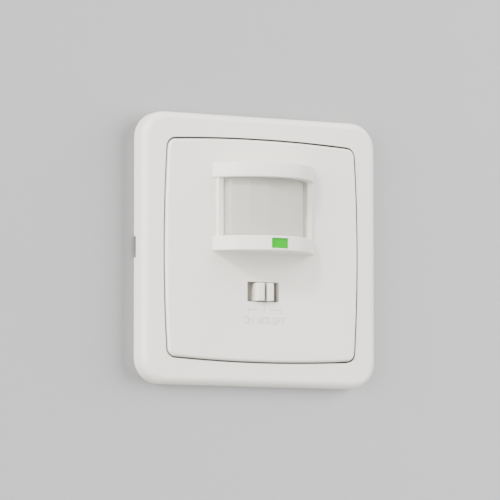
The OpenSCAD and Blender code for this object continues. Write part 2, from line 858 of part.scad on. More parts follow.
module filter_capacitor() on_wall() color(black_plastic) translate([bulk_x, bulk_y, power_face])
    rotate_extrude() difference() {
        square([filter_d / 2, bulk_height]);
        translate([filter_d / 2 + crimp_out, crimp_height]) circle(crimp_r);
    }

// A disc on edge, on its two wires
module varistor() on_wall() color(varistor_blue) translate([varistor_x, varistor_y, power_face]) {
    translate([0, varistor_thick / 2, varistor_lift + varistor_d / 2]) rotate([90, 0, 0])
        cylinder(d = varistor_d, h = varistor_thick);
    for (s = [-1, 1]) slab(wire_side, wire_side, 0, varistor_lift + varistor_d / 2,
        s * varistor_d / 4);
}

// A round body lying above the board, each end on a bent wire
module fuse_resistor() on_wall() color(fuse_green) translate([fuse_x, fuse_y, 0]) {
    translate([-fuse_long / 2, 0, fuse_axis]) rotate([0, 90, 0]) cylinder(d = fuse_d, h = fuse_long);
    for (s = [-1, 1]) {
        slab(2 * fuse_reach, wire_side, fuse_axis - wire_side / 2, fuse_axis + wire_side / 2,
            s * fuse_long / 2);
        slab(wire_side, wire_side, power_face, fuse_axis + wire_side / 2,
            s * (fuse_long / 2 + fuse_reach - wire_side / 2));
    }
}

module bridge_rectifier() on_wall() color(black_plastic) translate([bridge_x, bridge_y, 0]) {
    slab(bridge_long, bridge_wide, bridge_back, bridge_front);
    for (c = corners) slab(bridge_leg_side, bridge_leg_side, power_face, power_face + bridge_leg_high,
        c.x * (bridge_long / 2 - 1.5 * bridge_leg_side), c.y * bridge_wide / 2);
}

module terminal_block() on_wall() color(block_green) difference() {
    slab(block_width, block_depth, block_back, power_back, 0, block_centre);
    for (x = pole_xs) {
        // Room for the clamp, the wire's entry from below and the screw's well from behind
        slab(clamp_side + 2 * clamp_room, clamp_deep + 2 * clamp_room, clamp_back - clamp_room,
            clamp_front + clamp_room, x, clamp_centre);
        translate([x, block_low - past, entry_level]) rotate([-90, 0, 0])
            cylinder(d = wire_d, h = entry_wall + 2 * past);
        post(term_head_d + 2 * loose, block_back - past, entry_level, x, clamp_centre);
    }
}

module terminal_clamps() on_wall() color(brass_gold) for (x = pole_xs)
    translate([x, clamp_centre, entry_level]) difference() {
        slab(clamp_side, clamp_deep, -clamp_length / 2, clamp_length / 2);
        translate([0, -clamp_deep / 2 - past, 0]) rotate([-90, 0, 0])
            cylinder(d = wire_d + snug, h = clamp_deep - clamp_floor + past);
        post(term_screw_d + 2 * running, -clamp_length / 2 - past, 0);
    }

module terminal_screws() on_wall() color(steel) for (x = pole_xs)
    translate([x, clamp_centre, 0]) difference() {
        union() {
            post(term_head_d, term_head_back, term_head_front);
            post(term_screw_d, term_slot_front, entry_level - wire_d / 2);
        }
        slab(term_slot, term_head_d + past, term_head_back - past, term_slot_front);
    }

cover_frame();
centre_cover();
fresnel_lens();
lens_retainer();
led_window();
mode_knob();
switch_lever();
switch_case();
time_adjuster();
light_adjuster();
time_trimmer();
light_trimmer();
support_plate();
front_carrier();
carrier_screws();
rear_housing();
sensor_board();
power_board();
board_header();
header_pins();
pir_can();
pir_filter();
photocell();
status_led();
led_leads();
control_chip();
relay();
film_capacitor();
filter_capacitor();
varistor();
fuse_resistor();
bridge_rectifier();
terminal_block();
terminal_clamps();
terminal_screws();
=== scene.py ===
"""Looks of a flush wall switch with a motion sensor.

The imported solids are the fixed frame. The pieces that face the room are drawn again here as fine
surfaces with soft edges; every other solid keeps its mesh and gets a finish.
Shapes are written in millimetres on the wall: across to the right, up, and out into the room.
"""
import math

import bmesh
import bpy
import numpy as np
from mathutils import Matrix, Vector


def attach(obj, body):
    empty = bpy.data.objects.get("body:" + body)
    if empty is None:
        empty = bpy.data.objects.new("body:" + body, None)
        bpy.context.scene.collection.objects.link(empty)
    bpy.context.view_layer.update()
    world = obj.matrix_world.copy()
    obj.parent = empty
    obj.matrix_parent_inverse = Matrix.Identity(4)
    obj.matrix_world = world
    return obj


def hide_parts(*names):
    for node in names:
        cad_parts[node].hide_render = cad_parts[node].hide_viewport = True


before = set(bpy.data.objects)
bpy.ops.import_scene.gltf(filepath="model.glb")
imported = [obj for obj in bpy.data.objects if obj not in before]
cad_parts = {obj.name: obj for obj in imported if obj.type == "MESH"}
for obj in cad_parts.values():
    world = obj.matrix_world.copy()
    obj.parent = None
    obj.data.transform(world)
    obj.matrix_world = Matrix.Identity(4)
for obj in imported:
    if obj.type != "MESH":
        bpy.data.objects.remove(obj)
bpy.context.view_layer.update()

MM = 0.001

# A square corner is an arc too small to see, and a hair is the slack when places are compared
SQUARE, HAIR = 1e-4, 1e-6

# Frame: half side, depth, corner, rounded front edge, lip round the opening, cavity, notch and tongues;
# a brim is the narrow strip beside a rounded edge that keeps the flat next to it flat
FRAME_HALF, FRAME_DEPTH, FRAME_CORNER, FRAME_EDGE = 40.0, 6.0, 7.8, 2.2
FRAME_LIP, FRAME_BRIM, LIP_BRIM = 0.15, 0.2, 0.15
CAVITY_HALF, CAVITY_CORNER, CAVITY_FRONT = 38.0, 5.8, 4.0
NOTCH_HALF, NOTCH_DEPTH, NOTCH_BRIM, NOTCH_STEP = 3.15, 1.2, 0.3, 0.02
TONGUE_MID, TONGUE_THICK, TONGUE_LENGTH, TONGUE_BACK = 35.35, 1.2, 10.0, 0.2
TONGUE_LAP, TONGUE_CORNER, TONGUE_EDGE, TONGUE_TIP = 0.4, 0.2, 0.05, 0.2

# Centre cover: half side, bow of its sides, corner, rounded front edge, rim behind, gap to the frame, pegs
# and stakes; what stands on the cover is rooted a little way inside its plate
COVER_HALF, COVER_BOW, COVER_CORNER, COVER_EDGE, COVER_BRIM = 32.85, 1.1, 2.5, 0.8, 0.08
COVER_FRONT, COVER_INSIDE, COVER_BACK = 6.8, 5.0, 1.5
COVER_ROOT = COVER_INSIDE + 0.3
COVER_GAP, RIM_THICK, RIM_CORNER = 0.5, 1.5, 1.0
PEG_R, PEG_PLACE, PEG_BACK, PEG_EDGE = 1.5, 25.75, 1.8, 0.25
STAKE_R, STAKE_INSET, STAKE_BACK, STAKE_EDGE = 0.8, 4.8, 3.2, 0.15

# Sensor head: curved bars about an upright axis, low posts beside the lens; run-on and stop are angles
HEAD_HALF, HEAD_RISE, HEAD_CENTRE, HEAD_HEIGHT = 17.4, 10.8, 12.4, 26.0
BAR_HEIGHT, BAR_EDGE, BAR_BRIM, BAR_RUN_ON, BAR_STOP = 4.35, 0.3, 0.05, 0.04, 1e-4
HEAD_R = (HEAD_HALF ** 2 + HEAD_RISE ** 2) / (2 * HEAD_RISE)
HEAD_AXIS = COVER_FRONT + HEAD_RISE - HEAD_R
HEAD_LOW, HEAD_HIGH = HEAD_CENTRE - HEAD_HEIGHT / 2, HEAD_CENTRE + HEAD_HEIGHT / 2
OPENING_LOW, OPENING_HIGH = HEAD_LOW + BAR_HEIGHT, HEAD_HIGH - BAR_HEIGHT
POST_WIDTH, POST_RISE, POST_GAP, POST_EDGE, POST_CORNER, POST_LAP = 1.8, 1.4, 0.5, 0.2, 0.05, 0.3

# Lens: its facets round the same axis, the feet that hold it, the room left for it, and its painted light: a
# tone for each facet from left to right with the narrow ones at both ends, and the gain next to the upright
# edges
LENS_SETBACK, LENS_THICK, LENS_LAP, FLANGE_WIDTH = 3.1, 0.8, 1.5, 1.3
FACET_ANGLE, FACETS = 19.4, 5
FACET_SAMPLES = (0.05, 0.35, 0.65, 0.95)
LENS_R = HEAD_R - LENS_SETBACK
LENS_HALF = math.sqrt(LENS_R ** 2 - (COVER_FRONT - HEAD_AXIS) ** 2)
LENS_LOW, LENS_HIGH = OPENING_LOW - LENS_LAP, OPENING_HIGH + LENS_LAP
FLANGE_HALF = LENS_HALF + FLANGE_WIDTH
LENS_END = math.atan2(LENS_HALF, COVER_FRONT - HEAD_AXIS)
FACET_PAINTED_LIGHT = (0.87, 0.81, 0.87, 0.88, 1.0, 1.0, 1.0)
RIM_PAINTED_LIGHT, RIM_ANGLE, RIM_FULL = 2.05, math.radians(5.0), math.radians(1.25)
SNUG = 0.1

# Green window in the lower bar, and the stem that brings the light to it
LAMP_HALF_X, LAMP_HALF_Y, LAMP_INSET, LAMP_X = 2.75, 1.425, 0.5, -0.45
LAMP_CORNER, LAMP_EDGE, LAMP_SEAM = 0.1, 0.12, 0.8
LAMP_CENTRE = (HEAD_LOW + OPENING_LOW) / 2
LAMP_BACK = HEAD_AXIS + LENS_R + 0.3
STEM_HALF_X, STEM_HALF_Y, STEM_BACK, STEM_LAP = 1.5, 0.75, 2.2, 0.2
STEM_CORNER, STEM_EDGE, STEM_TIP = 0.1, 0.05, 0.1
STEM_CENTRE = (HEAD_LOW + LENS_LOW) / 2 - SNUG

# Mode knob in its window, with the groove between its ridges, the skirt behind it and the lever's socket
SLOT_HALF_X, SLOT_HALF_Y, SLOT_CENTRE = 5.4, 2.925, -12.2
SLOT_CORNER, SLOT_EDGE, SLOT_BRIM, SLOT_MARGIN = 0.25, 0.2, 0.05, 0.5
KNOB_HALF_X, KNOB_HALF_Y, KNOB_FRONT, KNOB_EDGE, KNOB_LAP = 2.75, 2.675, 8.4, 0.3, 0.2
GROOVE_HALF, GROOVE_DEPTH, GROOVE_EDGE, GROOVE_TAPER, GROOVE_FILLET = 0.5, 1.6, 0.12, 0.02, 0.08
SKIRT_HALF_X, SKIRT_HALF_Y, SKIRT_FRONT, SKIRT_BACK = 8.0, 3.725, 4.7, 3.6
SKIRT_CORNER, SKIRT_EDGE = 0.4, 0.15
SOCKET_HALF, SOCKET_BACK, SOCKET_LAP = 2.0, 1.4, 0.2
SOCKET_CORNER, SOCKET_EDGE, SOCKET_TIP = 0.2, 0.05, 0.15


def on_wall(across, up, out):
    """Row-frame points in metres: across stays x, up becomes z, and out runs along -y."""
    across, up, out = np.broadcast_arrays(across, up, out)
    return np.stack([across, -out, up], axis=-1) * MM


def patch(points, wrap_rows=False, wrap_cols=False, keep=None):
    """A grid of points and its quads: each quad joins a point to its next in the row and the column."""
    rows, cols = points.shape[:2]
    r = np.arange(rows - (not wrap_rows))[:, None]
    c = np.arange(cols - (not wrap_cols))[None, :]
    r_next, c_next = (r + 1) % rows, (c + 1) % cols
    quads = np.stack(np.broadcast_arrays(
        r * cols + c, r * cols + c_next, r_next * cols + c_next, r_next * cols + c), axis=-1)
    quads = quads if keep is None else quads[keep]
    return points.reshape(-1, 3), quads.reshape(-1, 4)


def capped(points):
    """The grid with a row before its first and after its last, each row closed on its neighbour's middle."""
    ends = [np.broadcast_to(points[k].mean(axis=0), points[k].shape)[None] for k in (0, -1)]
    return np.concatenate([ends[0], points, ends[1]])


# Points of a piece that are nearer than this, in metres, are one
DOUBLE_REACH = 2e-6


def make_piece(name, patches, body, finish, stands_for=(), crease=34.0):
    """One object from several patches: doubles merged, faces turned outwards, crisp edges kept sharp."""
    starts = np.cumsum([0] + [len(p) for p, _ in patches[:-1]])
    points = np.concatenate([p for p, _ in patches])
    quads = np.concatenate([q + s for (_, q), s in zip(patches, starts)])
    mesh = bpy.data.meshes.new(name)
    mesh.from_pydata(points.tolist(), [], quads.tolist())
    work = bmesh.new()
    work.from_mesh(mesh)
    bmesh.ops.remove_doubles(work, verts=work.verts, dist=DOUBLE_REACH)
    bmesh.ops.recalc_face_normals(work, faces=work.faces)
    work.to_mesh(mesh)
    work.free()
    mesh.shade_smooth()
    mesh.set_sharp_from_angle(angle=math.radians(crease))
    mesh.materials.append(finish)
    obj = bpy.data.objects.new(name, mesh)
    bpy.context.scene.collection.objects.link(obj)
    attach(obj, body)
    if stands_for:
        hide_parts(*stands_for)


# Places along the four sides of an outline, and round a corner between its two ends
EVEN_SIDES = [np.linspace(-1, 1, 9)] * 4
BEND = np.linspace(0, 1, 11)[1:-1]


def go_round(side, bend, fractions):
    """Closed outline: a side and the corner after it, four times, each along its own normal and tangent."""
    turns = [((1, 0), (0, 1)), ((0, 1), (-1, 0)), ((-1, 0), (0, -1)), ((0, -1), (1, 0))]
    legs = []
    for k, ((nx, ny), (tx, ty)) in enumerate(turns):
        n = np.concatenate([side(k, fractions[k])[0], bend(k)[0]])
        t = np.concatenate([side(k, fractions[k])[1], bend(k)[1]])
        legs.append(np.stack([n * nx + t * tx, n * ny + t * ty], axis=-1))
    return np.concatenate(legs)


def rounded_rect(half_x, half_y, corner, fractions=EVEN_SIDES, centre=(0.0, 0.0)):
    """Rectangle with corner arcs: straight sides, then a quarter circle of the corner's radius."""
    halves = [(half_x, half_y), (half_y, half_x)] * 2
    turn = BEND * math.pi / 2

    def side(k, f):
        n, t = halves[k]
        return np.full_like(f, n), (t - corner) * f

    def bend(k):
        n, t = halves[k]
        return n - corner + corner * np.cos(turn), t - corner + corner * np.sin(turn)

    return go_round(side, bend, fractions) + np.array(centre)


def bowed_square(half, corner, fractions):
    """Square whose sides are shallow arcs of one radius, met by a corner arc tangent to both."""
    chord = half - COVER_BOW
    bow_r = (chord ** 2 + COVER_BOW ** 2) / (2 * COVER_BOW)
    back = bow_r - half
    k0 = (math.sqrt(2 * (bow_r - corner) ** 2 - back ** 2) - back) / 2
    meet = math.atan2(k0, k0 + back)
    turn = meet + (math.pi / 2 - 2 * meet) * BEND
    return go_round(
        lambda k, f: (bow_r * np.cos(meet * f) - back, bow_r * np.sin(meet * f)),
        lambda k: (k0 + corner * np.cos(turn), k0 + corner * np.sin(turn)), fractions)


def stack(rings):
    """Grid of points from (outline, level out of the wall) pairs, one row for each."""
    return np.stack([on_wall(o[:, 0], o[:, 1], z) for o, z in rings])


def quarter(n):
    """(1 - cos, sin) of a quarter turn in n steps: how far a round edge draws in and how far it rises."""
    a = np.linspace(0, math.pi / 2, n + 1)
    return list(zip(1 - np.cos(a), np.sin(a)))


# Steps round a soft edge, the smallest corner of a ring, and a cap's brim as a share of its half width
EDGE_STEPS, SMALLEST_CORNER, CAP_BRIM = 4, 0.02, 0.08


def soft_box(cx, cy, half_x, half_y, low, high, corner, edge, back_edge=0.0, front=None):
    """Closed block: stacked rounded rectangles, drawn in along a quarter circle at the front edge.

    front(across) adds a curved front to the level high; the caps close on the line along their middle.
    """
    short = min(half_x, half_y)

    def ring(inset, level, follow):
        o = rounded_rect(
            half_x - inset, half_y - inset, max(corner - inset, SMALLEST_CORNER), centre=(cx, cy))
        return o, level + (front(o[:, 0]) if front and follow else 0.0)

    outline = rounded_rect(half_x, half_y, corner)
    middle = np.sign(outline) * np.maximum(np.abs(outline) - short, 0.0) + np.array([cx, cy])
    rings = [(middle, low)]
    rings += [ring(back_edge * (1 - s), low + back_edge * (1 - math.sqrt(max(0.0, 1 - (1 - s) ** 2))), False)
              for s in (np.linspace(0, 1, EDGE_STEPS + 1) if back_edge else [1.0])]
    rings += [ring(edge * c, high - edge + edge * s, True) for c, s in quarter(EDGE_STEPS)]
    rings += [ring(edge + (short - edge) * CAP_BRIM, high, True)]
    rings += [(middle, high + (front(middle[:, 0]) if front else 0.0))]
    return patch(stack(rings), wrap_cols=True)


PIN_SIDES = 40


def turned_pin(x, up, low, high, radius, edge):
    """Round pin that stands out of the wall: a profile of radius and level, turned about its axis."""
    a = np.linspace(0, 2 * math.pi, PIN_SIDES, endpoint=False)
    radii = [0.0] + [radius - edge + edge * s for _, s in quarter(EDGE_STEPS)] + [radius, 0.0]
    levels = [low] + [low + edge * c for c, _ in quarter(EDGE_STEPS)] + [high, high]
    r, z = np.array(radii)[:, None], np.array(levels)[:, None]
    return patch(on_wall(x + r * np.cos(a), up + r * np.sin(a), z), wrap_cols=True)


# Shader groups: what several finishes share
def new_group(name, inputs, outputs):
    """An empty shader group with named number inputs and outputs, and its two end nodes."""
    group = bpy.data.node_groups.new(name, "ShaderNodeTree")
    for label, value in inputs:
        socket = group.interface.new_socket(label, in_out="INPUT", socket_type="NodeSocketFloat")
        socket.default_value = value
    for label in outputs:
        group.interface.new_socket(label, in_out="OUTPUT", socket_type="NodeSocketFloat")
    return group, group.nodes.new("NodeGroupInput"), group.nodes.new("NodeGroupOutput")


def math_node(tree, operation, a, b):
    """One Math node of the tree; each operand is a socket or a number."""
    node = tree.nodes.new("ShaderNodeMath")
    node.operation = operation
    for socket, value in zip(node.inputs, (a, b)):
        if isinstance(value, (int, float)):
            socket.default_value = value
        else:
            tree.links.new(value, socket)
    return node.outputs[0]


def noise_node(tree, coordinates, scale, detail=2.0, rough=0.5):
    """Noise over the given coordinates; scale is a socket or a number, in waves per metre."""
    node = tree.nodes.new("ShaderNodeTexNoise")
    node.inputs["Detail"].default_value = detail
    node.inputs["Roughness"].default_value = rough
    tree.links.new(coordinates, node.inputs["Vector"])
    if isinstance(scale, (int, float)):
        node.inputs["Scale"].default_value = scale
    else:
        tree.links.new(scale, node.inputs["Scale"])
    return node.outputs["Fac"]


# Moulded plastic: patches in the gloss, in waves per metre, and their share beside the grain
GLOSS_PATCHES, PATCH_SHARE = 210.0, 0.7
# Rolled metal: how the streaks are drawn out along x, and the spangle's share beside them
STREAK_STRETCH, SPANGLE_SHARE = (0.06, 1.0, 1.0), 0.5


def build_moulded_grain():
    """Skin of moulded plastic: slow flow clouds in the colour, and the tool's fine spark grain as height."""
    group, inlet, outlet = new_group(
        "moulded_grain", [("Grain Scale", 2600.0), ("Cloud Scale", 45.0)], ["Cloud", "Rough", "Height"])
    place = group.nodes.new("ShaderNodeTexCoord").outputs["Object"]
    cloud = noise_node(group, place, inlet.outputs["Cloud Scale"], 3.0)
    grain = noise_node(group, place, inlet.outputs["Grain Scale"], 2.0, 0.6)
    patchy = noise_node(group, place, GLOSS_PATCHES, 2.0)
    rough = math_node(group, "ADD", math_node(group, "MULTIPLY", patchy, PATCH_SHARE),
                      math_node(group, "MULTIPLY", grain, 1 - PATCH_SHARE))
    group.links.new(cloud, outlet.inputs["Cloud"])
    group.links.new(rough, outlet.inputs["Rough"])
    group.links.new(grain, outlet.inputs["Height"])
    return group


def build_rolled_metal():
    """Skin of rolled or plated metal: long fine streaks along one axis and slow spangle in the tone."""
    group, inlet, outlet = new_group(
        "rolled_metal", [("Streak Scale", 900.0), ("Spangle Scale", 160.0)], ["Tone", "Rough", "Height"])
    place = group.nodes.new("ShaderNodeTexCoord").outputs["Object"]
    stretch = group.nodes.new("ShaderNodeMapping")
    stretch.inputs["Scale"].default_value = STREAK_STRETCH
    group.links.new(place, stretch.inputs["Vector"])
    streak = noise_node(group, stretch.outputs["Vector"], inlet.outputs["Streak Scale"], 3.0, 0.7)
    cells = group.nodes.new("ShaderNodeTexVoronoi")
    group.links.new(place, cells.inputs["Vector"])
    group.links.new(inlet.outputs["Spangle Scale"], cells.inputs["Scale"])
    grey = group.nodes.new("ShaderNodeRGBToBW")
    group.links.new(cells.outputs["Color"], grey.inputs["Color"])
    tone = math_node(group, "ADD", math_node(group, "MULTIPLY", grey.outputs[0], SPANGLE_SHARE),
                     math_node(group, "MULTIPLY", streak, 1 - SPANGLE_SHARE))
    group.links.new(tone, outlet.inputs["Tone"])
    group.links.new(streak, outlet.inputs["Rough"])
    group.links.new(streak, outlet.inputs["Height"])
    return group


RECESS_INPUTS = ("Half Width", "Half Height", "Centre Up", "Front")


def build_recess_painted_shade():
    """Painted shade in a recess: 1 inside an upright rectangle and behind a level, 0 elsewhere."""
    group, inlet, outlet = new_group("recess_painted_shade", [(label, 0.0) for label in RECESS_INPUTS], ["Dust"])
    axes = group.nodes.new("ShaderNodeSeparateXYZ")
    group.links.new(group.nodes.new("ShaderNodeTexCoord").outputs["Object"], axes.inputs["Vector"])
    across = math_node(group, "ABSOLUTE", axes.outputs["X"], 0.0)
    above = math_node(group, "SUBTRACT", axes.outputs["Z"], inlet.outputs["Centre Up"])
    up = math_node(group, "ABSOLUTE", above, 0.0)
    out = math_node(group, "MULTIPLY", axes.outputs["Y"], -1.0)
    inside = math_node(group, "LESS_THAN", across, inlet.outputs["Half Width"])
    for distance, limit in ((up, "Half Height"), (out, "Front")):
        nearer = math_node(group, "LESS_THAN", distance, inlet.outputs[limit])
        inside = math_node(group, "MULTIPLY", inside, nearer)
    group.links.new(inside, outlet.inputs["Dust"])
    return group


MOULDED_GRAIN = build_moulded_grain()
ROLLED_METAL = build_rolled_metal()
RECESS_PAINTED_SHADE = build_recess_painted_shade()


def srgb(r, g, b):
    """Linear colour from screen values of 0 to 255."""
    c = np.array([r, g, b], float) / 255
    c = np.where(c <= 0.04045, c / 12.92, ((c + 0.055) / 1.055) ** 2.4)
    return (float(c[0]), float(c[1]), float(c[2]), 1.0)


def new_finish(name, roughness, metallic=0.0):
    """A material with a bare Principled shader, and its tree and shader."""
    mat = bpy.data.materials.new(name)
    mat.use_nodes = True
    shader = mat.node_tree.nodes["Principled BSDF"]
    shader.inputs["Roughness"].default_value = roughness
    shader.inputs["Metallic"].default_value = metallic
    return mat, mat.node_tree, shader


def place_group(tree, group, values):
    """A node of the material's tree that holds the group, with the values of its inputs by label."""
    node = tree.nodes.new("ShaderNodeGroup")
    node.node_tree = group
    for label, value in values.items():
        node.inputs[label].default_value = value
    return node


def shaded(colour, share):
    """The colour times a share, as opaque as before."""
    return tuple(c * share for c in colour[:3]) + (1.0,)


def between(tree, fac, low, high):
    """A number that runs from low to high as fac runs from 0 to 1."""
    node = tree.nodes.new("ShaderNodeMapRange")
    node.inputs["To Min"].default_value = low
    node.inputs["To Max"].default_value = high
    tree.links.new(fac, node.inputs["Value"])
    return node.outputs["Result"]


def patchy_gloss(tree, shader, skin, roughness, spread):
    """The roughness runs from spread below its value to spread above it, with the skin's own pattern."""
    gloss = between(tree, skin.outputs["Rough"], roughness - spread, roughness + spread)
    tree.links.new(gloss, shader.inputs["Roughness"])


def blend_colours(tree, fac, a, b):
    """A colour that runs from a to b as fac runs from 0 to 1; a and b are colours or sockets."""
    node = tree.nodes.new("ShaderNodeMix")
    node.data_type = "RGBA"
    tree.links.new(fac, node.inputs["Factor"])
    for socket, value in ((node.inputs[6], a), (node.inputs[7], b)):
        if isinstance(value, tuple):
            socket.default_value = value
        else:
            tree.links.new(value, socket)
    return node.outputs[2]


def bump(tree, shader, height, distance):
    """Relief of the given height, in metres, on the shader's normal."""
    node = tree.nodes.new("ShaderNodeBump")
    node.inputs["Distance"].default_value = distance
    tree.links.new(height, node.inputs["Height"])
    tree.links.new(node.outputs["Normal"], shader.inputs["Normal"])


def plastic(name, colour, roughness, spread=0.04, shade=0.97, relief=4e-6, grain=2600.0, cloud=45.0,
            recess=None):
    """Moulded plastic: the colour drifts a little to a darker shade, the gloss is patchy, the skin grained.

    recess is a place painted darker as shade: its half width, half height, centre and front in millimetres,
    and the share of the colour that is left there.
    """
    mat, tree, shader = new_finish(name, roughness)
    skin = place_group(tree, MOULDED_GRAIN, {"Grain Scale": grain, "Cloud Scale": cloud})
    skin_colour = blend_colours(tree, skin.outputs["Cloud"], shaded(colour, shade), colour)
    if recess:
        # Painted shade: inside the recess the colour is darkened to the given share
        *place, share = recess
        painted_shade = place_group(tree, RECESS_PAINTED_SHADE, {label: at * MM for label, at in zip(RECESS_INPUTS, place)})
        skin_colour = blend_colours(tree, painted_shade.outputs["Dust"], skin_colour, shaded(colour, share))
    tree.links.new(skin_colour, shader.inputs["Base Color"])
    patchy_gloss(tree, shader, skin, roughness, spread)
    bump(tree, shader, skin.outputs["Height"], relief)
    return mat


def metal(name, colour, roughness, spread=0.1, shade=0.86, streak=900.0, relief=3e-6):
    """Plated or rolled metal: streaks and spangle move the tone and the gloss, and stand out a little."""
    mat, tree, shader = new_finish(name, roughness, 1.0)
    skin = place_group(tree, ROLLED_METAL, {"Streak Scale": streak})
    toned = blend_colours(tree, skin.outputs["Tone"], shaded(colour, shade), colour)
    tree.links.new(toned, shader.inputs["Base Color"])
    patchy_gloss(tree, shader, skin, roughness, spread)
    bump(tree, shader, skin.outputs["Height"], relief)
    return mat


# Tracks of a circuit board: waves per metre each way, the crest that is copper, and the share of the area
TRACK_WAVES = (("X", 55.0), ("Z", 42.0))
TRACK_AREAS, TRACK_CREST, TRACK_SHARE, TRACK_RELIEF = 90.0, 0.72, 0.52, 3e-5


def lacquered_board():
    """Circuit board: green lacquer over straight copper tracks, which show lighter and stand out a little."""
    mat, tree, shader = new_finish("lacquered_board", 0.35)
    place = tree.nodes.new("ShaderNodeTexCoord").outputs["Object"]
    tracks = []
    for direction, scale in TRACK_WAVES:
        wave = tree.nodes.new("ShaderNodeTexWave")
        wave.bands_direction = direction
        wave.inputs["Scale"].default_value = scale
        tree.links.new(place, wave.inputs["Vector"])
        area = noise_node(tree, place, TRACK_AREAS, 0.0)
        line = math_node(tree, "GREATER_THAN", wave.outputs["Fac"], TRACK_CREST)
        tracks.append(math_node(tree, "MULTIPLY", line, math_node(tree, "GREATER_THAN", area, TRACK_SHARE)))
    copper = math_node(tree, "MAXIMUM", tracks[0], tracks[1])
    lacquer = blend_colours(tree, copper, srgb(38, 92, 58), srgb(66, 128, 80))
    tree.links.new(lacquer, shader.inputs["Base Color"])
    bump(tree, shader, copper, TRACK_RELIEF)
    return mat


# Clear and milky plastics: roughness, its spread, and the height of the lens's grooves
LENS_ROUGH, LAMP_ROUGH, GLOSS_SPREAD, LENS_RELIEF = 0.42, 0.3, 0.04, 2e-6


def milky_lens():
    """Milky sheet with fine ring grooves: rings of distance from a point in the middle of the lens.

    Painted light and shade: each facet is given its own tone by a stepped
    ramp over the angle round the head's axis, one step for each facet from left to right. Next to its two
    upright edges the sheet is painted whiter, in proportion to the angle, against the shade of the posts.
    """
    mat, tree, shader = new_finish("milky_lens", LENS_ROUGH)
    shader.inputs["Subsurface Weight"].default_value = 0.85
    shader.inputs["Subsurface Radius"].default_value = (1.0, 1.0, 0.9)
    shader.inputs["Subsurface Scale"].default_value = 0.002
    skin = place_group(tree, MOULDED_GRAIN, {"Cloud Scale": 70.0})
    place = tree.nodes.new("ShaderNodeTexCoord").outputs["Object"]
    axes = tree.nodes.new("ShaderNodeSeparateXYZ")
    tree.links.new(place, axes.inputs["Vector"])
    out = math_node(tree, "SUBTRACT", -HEAD_AXIS * MM, axes.outputs["Y"])
    angle = math_node(tree, "ARCTAN2", axes.outputs["X"], out)
    facet = math_node(tree, "ADD", math_node(tree, "DIVIDE", angle, 2 * LENS_END), 0.5)
    # Painted light and shade: each facet gets its own tone from this stepped ramp
    steps = tree.nodes.new("ShaderNodeValToRGB")
    steps.color_ramp.interpolation = "CONSTANT"
    bends = math.radians(FACET_ANGLE) * (np.arange(FACETS + 1) - FACETS / 2) / (2 * LENS_END) + 0.5
    for k, (start, tone) in enumerate(zip([0.0, *bends.tolist()], FACET_PAINTED_LIGHT)):
        stop = steps.color_ramp.elements[k] if k < 2 else steps.color_ramp.elements.new(1.0)
        stop.position = start
        stop.color = (tone, tone, tone, 1.0)
    tree.links.new(facet, steps.inputs["Fac"])
    # Painted light: the sheet is made whiter next to its upright edges, against the posts' shade
    rim = tree.nodes.new("ShaderNodeMapRange")
    for label, value in (("From Min", LENS_END - RIM_ANGLE), ("From Max", LENS_END - RIM_FULL),
                         ("To Min", 1.0), ("To Max", RIM_PAINTED_LIGHT)):
        rim.inputs[label].default_value = value
    tree.links.new(math_node(tree, "ABSOLUTE", angle, 0.0), rim.inputs["Value"])
    tone = math_node(tree, "MULTIPLY", steps.outputs["Color"], rim.outputs["Result"])
    tint = tree.nodes.new("ShaderNodeMix")
    tint.data_type, tint.blend_type = "RGBA", "MULTIPLY"
    tint.clamp_result = True
    tint.inputs["Factor"].default_value = 1.0
    milk = blend_colours(tree, skin.outputs["Cloud"], srgb(192, 189, 178), srgb(197, 194, 184))
    tree.links.new(milk, tint.inputs[6])
    tree.links.new(tone, tint.inputs[7])
    tree.links.new(tint.outputs[2], shader.inputs["Base Color"])
    patchy_gloss(tree, shader, skin, LENS_ROUGH, GLOSS_SPREAD)
    centre = tree.nodes.new("ShaderNodeMapping")
    centre.inputs["Location"].default_value = (0.0, 0.0, -HEAD_CENTRE * MM)
    tree.links.new(place, centre.inputs["Vector"])
    rings = tree.nodes.new("ShaderNodeTexWave")
    rings.wave_type = "RINGS"
    rings.rings_direction = "SPHERICAL"
    rings.inputs["Scale"].default_value = 320.0
    tree.links.new(centre.outputs["Vector"], rings.inputs["Vector"])
    bump(tree, shader, rings.outputs["Fac"], LENS_RELIEF)
    return mat


def lamp_plastic():
    """Clear green plastic with light behind it: a weak glow that is fuller in the middle of slow clouds."""
    mat, tree, shader = new_finish("lamp_plastic", LAMP_ROUGH)
    shader.inputs["Specular IOR Level"].default_value = 0.15
    shader.inputs["Emission Strength"].default_value = 0.25
    skin = place_group(tree, MOULDED_GRAIN, {"Cloud Scale": 150.0})
    for label, weak, full in (("Base Color", srgb(0, 140, 0), srgb(0, 150, 0)),
                              ("Emission Color", srgb(0, 238, 0), srgb(0, 255, 0))):
        tree.links.new(blend_colours(tree, skin.outputs["Cloud"], weak, full), shader.inputs[label])
    patchy_gloss(tree, shader, skin, LAMP_ROUGH, GLOSS_SPREAD)
    return mat


# White shell: painted shade darkens the line round the cover except along its lower side, the knob's window
# and the knob's groove
WHITE, GLOSS = srgb(231, 228, 219), {"roughness": 0.42, "spread": 0.03, "shade": 0.985}
LINE_HALF, LINE_RISE, LINE_SUNK, LINE_SHARE = 34.0, 2.0, 0.06, 0.2
WINDOW_REACH, WINDOW_SHARE = 0.1, 0.75
GROOVE_REACH, GROOVE_SHARE = 0.05, 0.55
SHELL = plastic("shell_plastic", WHITE, **GLOSS)
FRAME_SHELL = plastic("frame_plastic", WHITE, **GLOSS, recess=(
    LINE_HALF, LINE_HALF, LINE_RISE, FRAME_DEPTH - LINE_SUNK, LINE_SHARE))
COVER_SHELL = plastic("cover_plastic", WHITE, **GLOSS, recess=(
    SLOT_HALF_X + WINDOW_REACH, SLOT_HALF_Y + WINDOW_REACH, SLOT_CENTRE, COVER_FRONT - SLOT_EDGE,
    WINDOW_SHARE))
